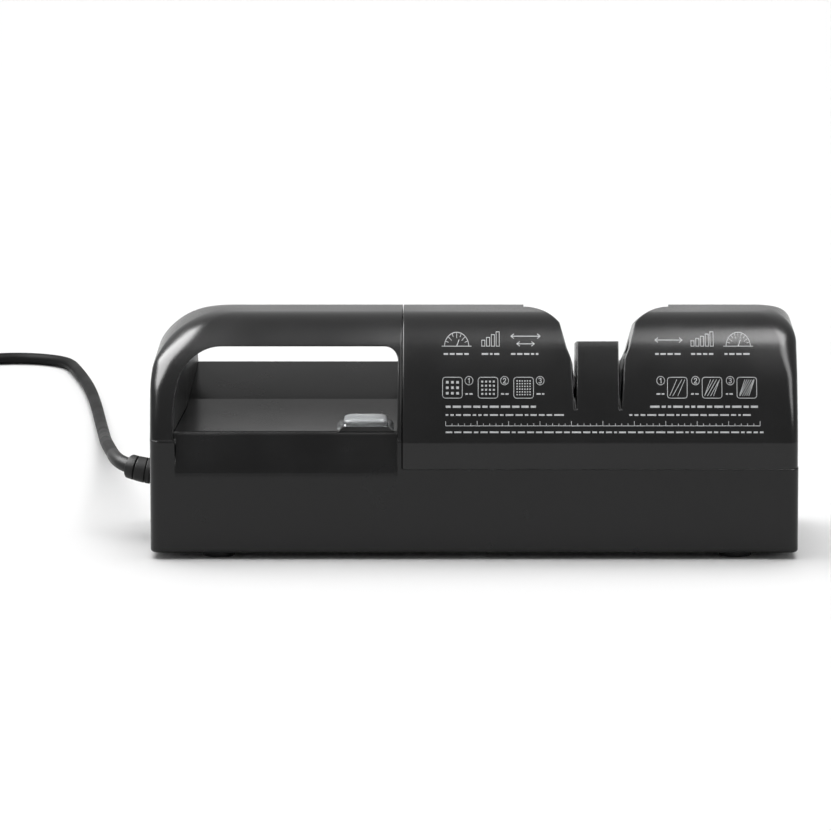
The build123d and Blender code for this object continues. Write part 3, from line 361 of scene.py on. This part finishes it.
def slices(name, zs, hy, x0, x1, rl, rr, nc=10):
    """Closed solid of stacked rounded rectangles: x0, x1, hy and corner radii are functions of z."""
    verts, faces = [], []
    per = 4 * (nc + 1)
    for z in zs:
        h, a, b = hy(z), x0(z), x1(z)
        l, r = max(0.02, min(rl(z), h - 0.01)), max(0.02, min(rr(z), h - 0.01))
        ring = []
        for (cx, cy, rad, s) in ((b - r, -h + r, r, -90), (b - r, h - r, r, 0), (a + l, h - l, l, 90), (a + l, -h + l, l, 180)):
            for i in range(nc + 1):
                t = math.radians(s + 90.0 * i / nc)
                ring.append((cx + rad * math.cos(t), cy + rad * math.sin(t), z))
        verts += ring
    for k in range(len(zs) - 1):
        for i in range(per):
            j = (i + 1) % per
            faces.append((k * per + i, k * per + j, (k + 1) * per + j, (k + 1) * per + i))
    faces.append(tuple(range(per - 1, -1, -1)))
    faces.append(tuple((len(zs) - 1) * per + i for i in range(per)))
    return mesh_from(name, verts, faces, None, 0)


def ramp_of(pairs):
    """Piecewise smooth function through (z, value) pairs."""
    def f(z):
        if z <= pairs[0][0]:
            return pairs[0][1]
        for (a, va), (b, vb) in zip(pairs, pairs[1:]):
            if z <= b:
                t = (z - a) / (b - a)
                t = t * t * (3 - 2 * t)
                return va + (vb - va) * t
        return pairs[-1][1]
    return f


# ------------------------------------------------------------------ carrying handle
HC1 = (-120.38, HEIGHT - 36.6)
HC2 = polar(HC1[0], HC1[1], 20.6, 152)
HC3 = polar(HC2[0], HC2[1], -44.0, 172)


def handle_x(z, off=0.0):
    """Left outline of the handle at height z."""
    z1 = HC1[1] + (36.6 - off) * math.sin(math.radians(152))
    z2 = HC2[1] + (16.0 - off) * math.sin(math.radians(172))
    z3 = HC3[1]
    if z >= z1:
        return HC1[0] - math.sqrt(max(0.0, (36.6 - off) ** 2 - (z - HC1[1]) ** 2))
    if z >= z2:
        return HC2[0] - math.sqrt(max(0.0, (16.0 - off) ** 2 - (z - HC2[1]) ** 2))
    if z >= z3:
        return HC3[0] - math.sqrt(max(0.0, (60.0 - off) ** 2 - (z - HC3[1]) ** 2))
    return -155.0 + off


def opening_poly(off, z_low, x_right=-36.5):
    b = x_right + off
    ca = (-143.9 + 75.0, 66.0)
    cb = polar(ca[0], ca[1], 75.0 - 21.3, 166)
    bar = cb[1] + 21.3
    pts = [(-143.9 - off, z_low)] + arc_pts(ca[0], ca[1], 75.0 + off, 180, 166, 14)
    pts += arc_pts(cb[0], cb[1], 21.3 + off, 166, 90, 30)[1:]
    pts += arc_pts(b - 6.3 - off, bar - 6.3, 6.3 + off, 90, 0, 14)
    pts.append((b, z_low))
    return pts


hz = levels(LEG_Z)
handle = slices("handle_skin", hz, half_y, handle_x, lambda z: -34.7,
                ramp_of([(57.5, 5.0), (80.0, 5.5), (92.0, 8.5), (104.0, 13.0), (113.5, 8.8)]), lambda z: 0.25)
poly = [(x, -70.0, z) for (x, z) in opening_poly(0.0, 40.0)]
boolean(handle, prism("cut_open", poly, (0, 1, 0), 140.0))
# room for the inner trim, between the front and rear walls
inner = slices("cut_inner", levels(LEG_Z - 4, 2.4), lambda z: half_y(z, 2.4), lambda z: -170.0, lambda z: -36.5,
               lambda z: 0.02, lambda z: 0.02)
poly = [(x, -70.0, z) for (x, z) in opening_poly(2.4, 40.0)]
boolean(inner, prism("cut_open2", poly, (0, 1, 0), 140.0), "INTERSECT")
boolean(handle, inner)
clean(handle)
set_mat(handle, body_mat)
fix(handle, 32)
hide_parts("handle_shell")
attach(handle, "base")

# ------------------------------------------------------------------ belt cover
GX = 59.15


def lid_x1(z, off=0.0):
    if z <= HEIGHT - 13.0:
        return 154.7 - off
    return 141.7 + math.sqrt(max(0.0, (13.0 - off) ** 2 - (z - HEIGHT + 13.0) ** 2))


def notch_poly(off):
    r = 21.7 - off
    ang = math.degrees(math.atan2(111.85 - 98.4, 40.9 - 23.9))
    left = [(23.9, 140.0)] + arc_pts(23.9, 98.4, r, 90, ang, 24)
    left += [(44.3 - off, 99.4 - off * 0.2), (46.4 - off, 94.0 - off), (49.2 + off, 94.0 - off), (49.2 + off, 102.6 - off)]
    right = [(2 * GX - x, z) for (x, z) in reversed(left)]
    return left + right


def notch(off, name):
    t = math.radians(9.5)
    poly = [(x, -35.0, z) for (x, z) in notch_poly(off)]
    return prism(name, poly, (0, math.cos(t), -math.sin(t)), 150.0, 60.0)


def slot_cut(off, side, name):
    one = [(46.4 - off, 99.0), (46.4 - off, 94.0), (47.8 - off, 72.0 - off), (49.0 + off, 72.0 - off),
           (49.2 + off, 94.0), (49.2 + off, 99.0)]
    if side:
        one = [(2 * GX - x, z) for (x, z) in one]
    return prism(name, [(x, -70.0, z) for (x, z) in one], (0, 1, 0), 140.0)


lid = slices("lid_skin", levels(SEAM_Z), half_y, lambda z: -34.2, lid_x1, lambda z: 0.25,
             ramp_of([(44, 4.0), (60, 4.0), (85, 5.5), (100, 9.0), (113.5, 8.8)]))
cavity = slices("lid_cavity", [SEAM_Z - 5.0] + levels(SEAM_Z, 2.2), lambda z: half_y(z, 2.2), lambda z: -32.0,
                lambda z: lid_x1(z, 2.2), lambda z: 1.0, lambda z: 3.0)
for s in (0, 1):
    boolean(cavity, slot_cut(2.2, s, "c"))
boolean(cavity, notch(2.2, "c"))
boolean(lid, notch(0.0, "c"))
for s in (0, 1):
    boolean(lid, slot_cut(0.0, s, "c"))
boolean(lid, cavity)
for s in (0, 1):
    xa, xb = (39.0, 48.9) if s == 0 else (2 * GX - 48.9, 2 * GX - 39.0)
    boolean(lid, prism("c", [(xa, -17, 42.0), (xb, -17, 42.0), (xb, -17, 97.0), (xa, -17, 97.0)], (0, 1, 0), 34.0))
clean(lid)
set_mat(lid, body_mat)
fix(lid, 32)
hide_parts("lid_cover")
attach(lid, "lid")


# ------------------------------------------------------------------ tension springs, each copied into a mesh of its own on the base
for side in ("left", "right"):
    node = side + "_tension_spring"
    coil = bpy.data.objects.new(side + "_spring_coil", nodes[node].data.copy())
    scene.collection.objects.link(coil)
    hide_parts(node)
    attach(coil, "base")
    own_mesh(coil)


# ------------------------------------------------------------------ cord
CORD = [(-176.8, 26.0, 36.8),
        (-178.8, 41.0, 36.1), (-181.2, 64.0, 34.0), (-183.8, 96.0, 29.8), (-186.6, 134.0, 24.4), (-189.6, 176.0, 18.4),
        (-192.8, 222.0, 12.2), (-196.4, 270.0, 7.0), (-200.8, 320.0, 4.0), (-205.4, 368.0, 3.3), (-210.2, 410.0, 3.3),
        (-214.8, 444.0, 3.3), (-219.2, 470.0, 3.3), (-224.2, 496.6, 3.3), (-229.8, 522.9, 3.3), (-241.7, 536.7, 3.3),
        (-258.9, 542.6, 3.3), (-276.8, 539.1, 3.3), (-290.6, 527.2, 3.3), (-296.5, 510.0, 3.3), (-298.4, 488.0, 3.3), (-296.0, 463.0, 3.3)]
COIL_C = (-333.0, 440.0)
PX, PY = -371.2, 461.0


def coil_points():
    """Turns of the coil, clockwise from above: two columns, up and over."""
    pts = []
    per = 14
    plan = [(38.2, 3.3), (31.8, 3.3), (31.8, 9.7), (38.2, 9.7), (38.0, 16.1)]
    total = 4.5
    n = int(total * per)
    for i in range(1, n + 1):
        turn = i / per
        k = int(turn)
        f = turn - k
        a, b = plan[min(k, 4)], plan[min(k + 1, 4)]
        w = 0.0 if f < 0.72 else (f - 0.72) / 0.28
        w = w * w * (3 - 2 * w)
        r, z = a[0] + (b[0] - a[0]) * w, a[1] + (b[1] - a[1]) * w
        ang = -2 * math.pi * turn
        pts.append((COIL_C[0] + r * math.cos(ang), COIL_C[1] + r * math.sin(ang), z))
    return pts


cord_pts = CORD + coil_points()
cord_pts += [(PX + 0.1, COIL_C[1] + 9.0, 14.6), (PX, COIL_C[1] + 16.0, 11.6), (PX, PY - 1.0, 8.6), (PX, PY + 6.0, 8.2)]
cu = bpy.data.curves.new("mains_cord", "CURVE")
cu.dimensions = "3D"
sp = cu.splines.new("NURBS")
sp.points.add(len(cord_pts) - 1)
for p, c in zip(sp.points, cord_pts):
    p.co = (c[0] * MM, c[1] * MM, c[2] * MM, 1.0)
sp.order_u = 3
sp.use_endpoint_u = True
sp.resolution_u = 14
cu.bevel_depth = 0.0032
cu.bevel_resolution = 6
cu.use_fill_caps = True
cord = bpy.data.objects.new("mains_cord", cu)
scene.collection.objects.link(cord)
cu.materials.append(sheath_mat)
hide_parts("power_cord", "cord_coil")
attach(cord, "base")

# ------------------------------------------------------------------ strain relief, ribbed
REL = [(-154.0, 3.0, 32.5), (-158.0, 3.1, 32.7), (-168.0, 4.4, 34.9), (-174.8, 12.4, 36.8), (-176.8, 26.0, 36.8)]


def spline_line(pts, steps):
    """Points of a NURBS line with pts as its control points."""
    c = bpy.data.curves.new("line", "CURVE")
    c.dimensions = "3D"
    n = c.splines.new("NURBS")
    n.points.add(len(pts) - 1)
    for q, p in zip(n.points, pts):
        q.co = (p[0], p[1], p[2], 1.0)
    n.order_u = 3
    n.use_endpoint_u = True
    n.resolution_u = steps
    o = bpy.data.objects.new("line", c)
    scene.collection.objects.link(o)
    dg = bpy.context.evaluated_depsgraph_get()
    dg.update()
    me = bpy.data.meshes.new_from_object(o.evaluated_get(dg), depsgraph=dg)
    out = [v.co.copy() for v in me.vertices]
    bpy.data.meshes.remove(me)
    bpy.data.objects.remove(o)
    bpy.data.curves.remove(c)
    return out


def tube(name, centre, radius, mat, seg=32, smooth=40.0):
    """Closed tube along centre with a radius for each point."""
    verts, faces = [], []
    n = len(centre)
    up = Vector((0, 0, 1))
    for i, c in enumerate(centre):
        d = (centre[min(n - 1, i + 1)] - centre[max(0, i - 1)]).normalized()
        s = d.cross(up).normalized()
        u = s.cross(d).normalized()
        for k in range(seg):
            a = 2 * math.pi * k / seg
            verts.append(tuple(c + (s * math.cos(a) + u * math.sin(a)) * radius[i]))
    for i in range(n - 1):
        for k in range(seg):
            j = (k + 1) % seg
            faces.append((i * seg + k, i * seg + j, (i + 1) * seg + j, (i + 1) * seg + k))
    faces.append(tuple(range(seg - 1, -1, -1)))
    faces.append(tuple((n - 1) * seg + k for k in range(seg)))
    return mesh_from(name, verts, faces, mat, smooth)


line = spline_line(REL, 110)
dist = [0.0]
for a, b in zip(line, line[1:]):
    dist.append(dist[-1] + (b - a).length)
total = dist[-1]


def rel_radius(s):
    """Neck, ribs with narrow grooves, end ring, then a smooth sleeve that gets thinner round the turn."""
    if s < 2.3:
        return 4.6
    if s < 14.0:
        top = 6.35 - 0.035 * (s - 2.3)
        for g, w in ((2.9, 0.45), (5.3, 0.5), (10.2, 0.6)):
            if g <= s < g + w:
                return top - 0.8 * (1.0 - abs((s - g - w / 2) / (w / 2)) ** 2.0)
        edge = min(s - 2.3, 14.0 - s, 0.35) / 0.35
        return top - 0.3 * (1.0 - edge) ** 2
    if s < 14.25:
        return 5.65 - 1.9 * (s - 14.0) / 0.25
    return 3.75 - 0.45 * (s - 14.25) / (total - 14.25)


relief = tube("relief_sleeve", line, [rel_radius(s) for s in dist], rubber_mat, 40, 35)
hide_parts("strain_relief")
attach(relief, "base")


# ------------------------------------------------------------------ switch boot
SW = Matrix.Translation((-52.0, -40.3, 61.75)) @ Matrix.Rotation(math.radians(6.0), 4, "X")


def rounded_rect(w, h, r, n=8):
    pts = []
    for (cx, cy, s) in ((w / 2 - r, -h / 2 + r, -90), (w / 2 - r, h / 2 - r, 0), (-w / 2 + r, h / 2 - r, 90), (-w / 2 + r, -h / 2 + r, 180)):
        for i in range(n + 1):
            t = math.radians(s + 90.0 * i / n)
            pts.append((cx + r * math.cos(t), cy + r * math.sin(t)))
    return pts


def stack(name, rings, mat, smooth=40.0, frame_m=SW, close=True):
    """Stack of equal-count loops (list of (pts, z)); the first and last loops are capped when close is set."""
    verts, faces = [], []
    n = len(rings[0][0])
    for pts, z in rings:
        for p in pts:
            verts.append(tuple(frame_m @ Vector((p[0], p[1], z))))
    for k in range(len(rings) - 1):
        for i in range(n):
            j = (i + 1) % n
            faces.append((k * n + i, k * n + j, (k + 1) * n + j, (k + 1) * n + i))
    if close:
        faces.append(tuple(range(n - 1, -1, -1)))
        faces.append(tuple((len(rings) - 1) * n + i for i in range(n)))
    return mesh_from(name, verts, faces, mat, smooth)


outer = [(21.8, 12.0, 1.6, 1.95), (21.8, 12.0, 1.8, 2.3), (21.5, 11.8, 2.2, 2.5),
         (21.3, 11.6, 2.6, 3.2), (20.9, 11.2, 3.0, 4.2), (20.0, 10.4, 3.2, 5.0), (18.2, 9.0, 3.2, 5.5), (15.2, 6.6, 2.6, 5.7), (8.0, 3.0, 1.4, 5.75)]
inn = [(7.0, 2.4, 1.1, 5.15), (14.4, 6.0, 2.3, 5.1), (17.3, 8.2, 2.8, 4.9), (19.0, 9.5, 2.8, 4.5), (19.8, 10.2, 2.6, 3.9), (20.1, 10.5, 2.2, 3.1),
       (20.3, 10.7, 1.9, 2.5), (20.4, 10.8, 1.7, 1.95)]
rings = [(rounded_rect(w, h, min(r, h / 2 - 0.05)), z) for (w, h, r, z) in outer]
rings2 = [(rounded_rect(w, h, min(r, h / 2 - 0.05)), z) for (w, h, r, z) in inn]
n = len(rings[0][0])
verts, faces = [], []
allr = rings + rings2
for pts, z in allr:
    for p in pts:
        verts.append(tuple(SW @ Vector((p[0], p[1], z))))
m = len(rings)
for k in range(len(allr) - 1):
    if k == m - 1:
        continue
    for i in range(n):
        j = (i + 1) % n
        faces.append((k * n + i, k * n + j, (k + 1) * n + j, (k + 1) * n + i))
faces.append(tuple((m - 1) * n + i for i in range(n)))
faces.append(tuple(m * n + i for i in range(n - 1, -1, -1)))
last = len(allr) - 1
for i in range(n):
    j = (i + 1) % n
    faces.append((last * n + i, last * n + j, j, i))
# a thin ear over each sloping end of the bezel
for s in (-1, 1):
    o = len(verts)
    for (u, v, w) in ((13.25, -7.3, 0.1), (13.25, 7.3, 0.1), (11.35, 6.1, 1.92), (11.35, -6.1, 1.92)):
        for lift in (0.02, 0.42):
            verts.append(tuple(SW @ Vector((s * (u + lift * 0.68), v, w + lift * 0.73))))
    faces += [(o, o + 2, o + 4, o + 6), (o + 1, o + 7, o + 5, o + 3)]
    faces += [(o + 2 * i, o + 2 * i + 1, o + (2 * i + 3) % 8, o + (2 * i + 2) % 8) for i in range(4)]
boot = mesh_from("boot_dome", verts, faces, clear_mat, 50)
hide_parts("switch_boot")
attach(boot, "base")

# ------------------------------------------------------------------ white print on the belt cover
pv, pf = [], []


def on_lid(x, z, lift):
    """Point of the front face of the belt cover at (x, z), lifted off it."""
    e = 0.05
    y0, y1 = -half_y(z - e), -half_y(z + e)
    n = Vector((0.0, -2 * e, y1 - y0)).normalized()
    return Vector((x, -half_y(z), z)) + n * lift


def quad_bar(a, b, w):
    """One closed bar of print from a to b in (x, z), as wide as w."""
    dx, dz = b[0] - a[0], b[1] - a[1]
    length = math.hypot(dx, dz) or 1e-6
    ux, uz = dx / length, dz / length
    k = max(1, int(abs(dz) / 1.6) + 1)
    ext = w * 0.35
    a = (a[0] - ux * ext, a[1] - uz * ext)
    b = (b[0] + ux * ext, b[1] + uz * ext)
    base = len(pv)
    for i in range(k + 1):
        t = i / k
        x, z = a[0] + (b[0] - a[0]) * t, a[1] + (b[1] - a[1]) * t
        for (s1, lift) in ((-1, -0.06), (1, -0.06), (1, 0.05), (-1, 0.05)):
            p = on_lid(x - uz * s1 * w / 2, z + ux * s1 * w / 2, lift)
            pv.append(tuple(p))
    for i in range(k):
        o = base + 4 * i
        for j in range(4):
            m = (j + 1) % 4
            pf.append((o + j, o + m, o + 4 + m, o + 4 + j))
    pf.append((base + 3, base + 2, base + 1, base))
    o = base + 4 * k
    pf.append((o, o + 1, o + 2, o + 3))


def stroke(pts, w=0.42, close=False):
    pts = list(pts)
    if close:
        pts = pts + [pts[0]]
    for a, b in zip(pts, pts[1:]):
        quad_bar(a, b, w)


def ring_mark(cx, cz, r, w=0.42, n=22, a0=0, a1=360):
    stroke([polar(cx, cz, r, a0 + (a1 - a0) * i / n) for i in range(n + 1)], w)


DIGITS = {
    1: [(0.15, 1.2), (0.55, 1.6), (0.55, 0.0)],
    2: [(0.05, 1.2), (0.2, 1.5), (0.5, 1.6), (0.8, 1.5), (0.95, 1.2), (0.8, 0.85), (0.05, 0.0), (0.98, 0.0)],
    3: [(0.05, 1.4), (0.3, 1.6), (0.7, 1.58), (0.92, 1.28), (0.75, 0.95), (0.45, 0.85), (0.78, 0.75), (0.97, 0.42),
        (0.75, 0.06), (0.35, 0.0), (0.03, 0.2)],
    4: [(0.75, 0.0), (0.75, 1.6), (0.02, 0.5), (1.0, 0.5)],
}


def digit(d, x, z, h, w=0.45):
    k = h / 1.6
    stroke([(x + u * k, z + v * k) for (u, v) in DIGITS[d]], w)


def dashes(x0, x1, z, h, seed, lo=1.2, hi=4.6, gap=1.0):
    """Row of plain dashes in the place of a line of writing."""
    r = random.Random(seed)
    x = x0
    while x < x1 - lo:
        length = min(r.uniform(lo, hi), x1 - x)
        quad_bar((x + h * 0.35, z), (x + length - h * 0.35, z), h)
        x += length + gap


def rounded_box(cx, cz, w, h, r=1.3, s=0.30):
    pts = []
    for (ux, uz, a0) in ((1, 1, 0), (-1, 1, 90), (-1, -1, 180), (1, -1, 270)):
        pts += arc_pts(cx + ux * (w / 2 - r), cz + uz * (h / 2 - r), r, a0, a0 + 90, 4)
    stroke(pts, s, True)


def dot_tile(cx, cz, size, n):
    """Rounded square filled with n by n dots: the more dots, the finer the grit."""
    rounded_box(cx, cz, size, size)
    side = size - 2.0
    step = side / n
    for i in range(n):
        for j in range(n):
            x, z = cx - side / 2 + step * (i + 0.5), cz - side / 2 + step * (j + 0.5)
            quad_bar((x - step * 0.1, z), (x + step * 0.1, z), step * 0.46)


def line_tile(cx, cz, size, n):
    """Rounded square filled with n slanting lines."""
    rounded_box(cx, cz, size, size)
    side = size - 2.2
    for i in range(n):
        u = -side / 2 + side * (i + 0.5) / n
        a, b = max(-side / 2, u - side * 0.3), min(side / 2, u + side * 0.3)
        stroke([(cx + a, cz - side / 2), (cx + b, cz + side / 2)], 0.26)


def two_way(xa, xb, z, head=1.3):
    """Arrow with a head at both ends."""
    stroke([(xa, z), (xb, z)], 0.32)
    stroke([(xa + head, z + head * 0.7), (xa, z), (xa + head, z - head * 0.7)], 0.32)
    stroke([(xb - head, z + head * 0.7), (xb, z), (xb - head, z - head * 0.7)], 0.32)


def ringed(d, cx, cz, r=1.9):
    """Number in a ring."""
    ring_mark(cx, cz, r, 0.28, 20)
    h = r * 1.15
    digit(d, cx - 0.5 * h / 1.6 + (0.1 if d == 1 else 0.0), cz - h / 2, h, 0.34)


def fan(cx, cz, r, n):
    """Half dial with graduation marks and a pointer."""
    ring_mark(cx, cz, r, 0.30, 20, 0, 180)
    stroke([(cx - r - 1.2, cz), (cx + r + 1.2, cz)], 0.30)
    for i in range(1, n):
        a = 180.0 * i / n
        stroke([polar(cx, cz, r * (0.74 if i % 2 else 0.6), a), polar(cx, cz, r * 0.94, a)], 0.24)
    stroke([(cx, cz), polar(cx, cz, r * 0.5, 68)], 0.36)


def steps(cx, cz, n, w=1.5, gap=0.8):
    """Row of bars that grow from left to right."""
    for i in range(n):
        x = cx + i * (w + gap)
        h = 1.4 + 4.6 * (i + 1) / n
        stroke([(x, cz), (x, cz + h), (x + w, cz + h), (x + w, cz)], 0.28, True)


# left lobe: a tall tile for each grit with its number, and a half dial above
fan(-8.4, 100.4, 5.8, 8)
steps(3.6, 100.4, 4)
two_way(17.6, 31.6, 104.6)
two_way(20.4, 28.8, 101.4)
dashes(-14.6, -2.2, 97.0, 0.78, 11, 1.2, 3.2, 0.8)
dashes(3.6, 12.0, 97.0, 0.78, 15, 1.2, 3.2, 0.8)
dashes(17.6, 31.8, 97.0, 0.78, 12, 1.2, 3.2, 0.8)
for k, (cx, n) in enumerate(((-10.4, 3), (6.6, 4), (23.6, 6))):
    dot_tile(cx, 82.0, 9.4, n)
    ringed(k + 1, cx + 7.9, 85.2)
    dashes(cx + 6.2, cx + 10.0, 79.2, 0.7, 60 + k, 1.0, 2.0, 0.6)
# right lobe: line tiles, steps and a half dial in the other order
two_way(86.6, 99.6, 103.0)
steps(103.8, 100.4, 5)
fan(126.4, 100.4, 5.8, 10)
dashes(86.6, 99.6, 97.0, 0.78, 13, 1.2, 3.2, 0.8)
dashes(103.8, 114.6, 97.0, 0.78, 16, 1.2, 3.2, 0.8)
dashes(119.8, 133.0, 97.0, 0.78, 14, 1.2, 3.2, 0.8)
for k, (cx, n) in enumerate(((97.0, 3), (113.6, 5), (130.2, 7))):
    line_tile(cx, 82.0, 9.4, n)
    ringed(k + 1, cx - 7.9, 85.2)
    dashes(cx - 10.0, cx - 6.2, 79.2, 0.7, 70 + k, 1.0, 2.0, 0.6)
# bars and a graduated line below
dashes(-13.6, 30.0, 73.4, 1.0, 21, 1.8, 5.0)
dashes(84.0, 136.0, 73.4, 1.0, 22, 1.5, 4.6)
dashes(-13.6, 44.0, 69.6, 0.78, 31)
dashes(74.0, 132.0, 69.6, 0.78, 32)
stroke([(-13.6, 64.6), (136.4, 64.6)], 0.28)
for i in range(51):
    stroke([(-13.6 + 3.0 * i, 64.7), (-13.6 + 3.0 * i, 66.7 if i % 5 == 0 else 65.6)], 0.26)
dashes(-13.6, 138.0, 61.6, 0.78, 33)
printing = mesh_from("cover_print", pv, pf, print_mat, 0)
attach(printing, "lid")

# ------------------------------------------------------------------ floor and light
def plane(name, size, loc, rot=(0, 0, 0)):
    me = bpy.data.meshes.new(name)
    s = size / 2
    me.from_pydata([(-s, -s, 0), (s, -s, 0), (s, s, 0), (-s, s, 0)], [], [(0, 1, 2, 3)])
    o = bpy.data.objects.new(name, me)
    o.location = loc
    o.rotation_euler = rot
    scene.collection.objects.link(o)
    return o


floor = plane("floor", 14.0, (0, 1.0, 0))
fm, nt, b = new_mat("floor_white")
b.inputs["Base Color"].default_value = (0.93, 0.93, 0.93, 1)
b.inputs["Roughness"].default_value = 0.7
b.inputs["Specular IOR Level"].default_value = 0.2
floor.data.materials.append(fm)

world = bpy.data.worlds.new("studio")
scene.world = world
world.use_nodes = True
wn = world.node_tree
bg = wn.nodes["Background"]
wc = wn.nodes.new("ShaderNodeTexCoord")
sx = wn.nodes.new("ShaderNodeSeparateXYZ")
wn.links.new(wc.outputs["Generated"], sx.inputs["Vector"])
# light grey to the rear and over the top, darker room in front
ramp = wn.nodes.new("ShaderNodeValToRGB")
half = wn.nodes.new("ShaderNodeMath")
half.operation = "MULTIPLY_ADD"
half.inputs[1].default_value = 0.5
half.inputs[2].default_value = 0.5
wn.links.new(sx.outputs["Y"], half.inputs[0])
wn.links.new(half.outputs["Value"], ramp.inputs["Fac"])
cr = ramp.color_ramp
cr.interpolation = "EASE"
stops = ((0.0, 0.40), (0.16, 0.33), (0.36, 0.42), (0.55, 0.50), (0.78, 0.46), (0.92, 0.50), (1.0, 0.72))
while len(cr.elements) < len(stops):
    cr.elements.new(0.5)
for e, (pos, v) in zip(cr.elements, stops):
    e.position = pos
    e.color = (v, v, v, 1)
wn.links.new(ramp.outputs["Color"], bg.inputs["Color"])
bg.inputs["Strength"].default_value = 1.0


def area(name, loc, look, size, power, size_y=None, color=(1, 1, 1)):
    l = bpy.data.lights.new(name, "AREA")
    l.shape = "RECTANGLE" if size_y else "SQUARE"
    l.size = size
    if size_y:
        l.size_y = size_y
    l.energy = power
    l.color = color
    o = bpy.data.objects.new(name, l)
    scene.collection.objects.link(o)
    o.location = loc
    d = Vector(look) - Vector(loc)
    o.rotation_mode = "QUATERNION"
    o.rotation_quaternion = d.to_track_quat("-Z", "Y")
    return o


def on_dir(az, el, dist):
    """Point at azimuth az from the front towards the left, elevation el."""
    a, e = math.radians(az), math.radians(el)
    return (-dist * math.sin(a) * math.cos(e), -dist * math.cos(a) * math.cos(e), dist * math.sin(e))


# soft boxes at the left and the right, seen in the corners of the body; they add nothing to the floor
for soft in (area("left_soft", on_dir(90, 54, 2.4), (-0.1, 0, 0.08), 2.8, 240.0, 1.6),
             area("right_soft", on_dir(-52, 44, 2.6), (0.1, 0, 0.08), 1.1, 52.0, 2.1),
             area("right_top", on_dir(-84, 72, 2.6), (0.1, 0, 0.08), 1.3, 60.0, 1.1)):
    soft.visible_diffuse = False
# even light from above for the floor; it stays out of the reflections
key = bpy.data.lights.new("key", "SUN")
key.energy = 2.15
key.angle = math.radians(58)
key_o = bpy.data.objects.new("key", key)
scene.collection.objects.link(key_o)
key_o.rotation_mode = "QUATERNION"
key_o.rotation_quaternion = Vector((0.1, -0.28, -1.0)).to_track_quat("-Z", "Y")
key_o.visible_glossy = False

scene.view_settings.view_transform = "Standard"
scene.view_settings.look = "None"
scene.view_settings.exposure = 0.0
scene.view_settings.gamma = 1.0
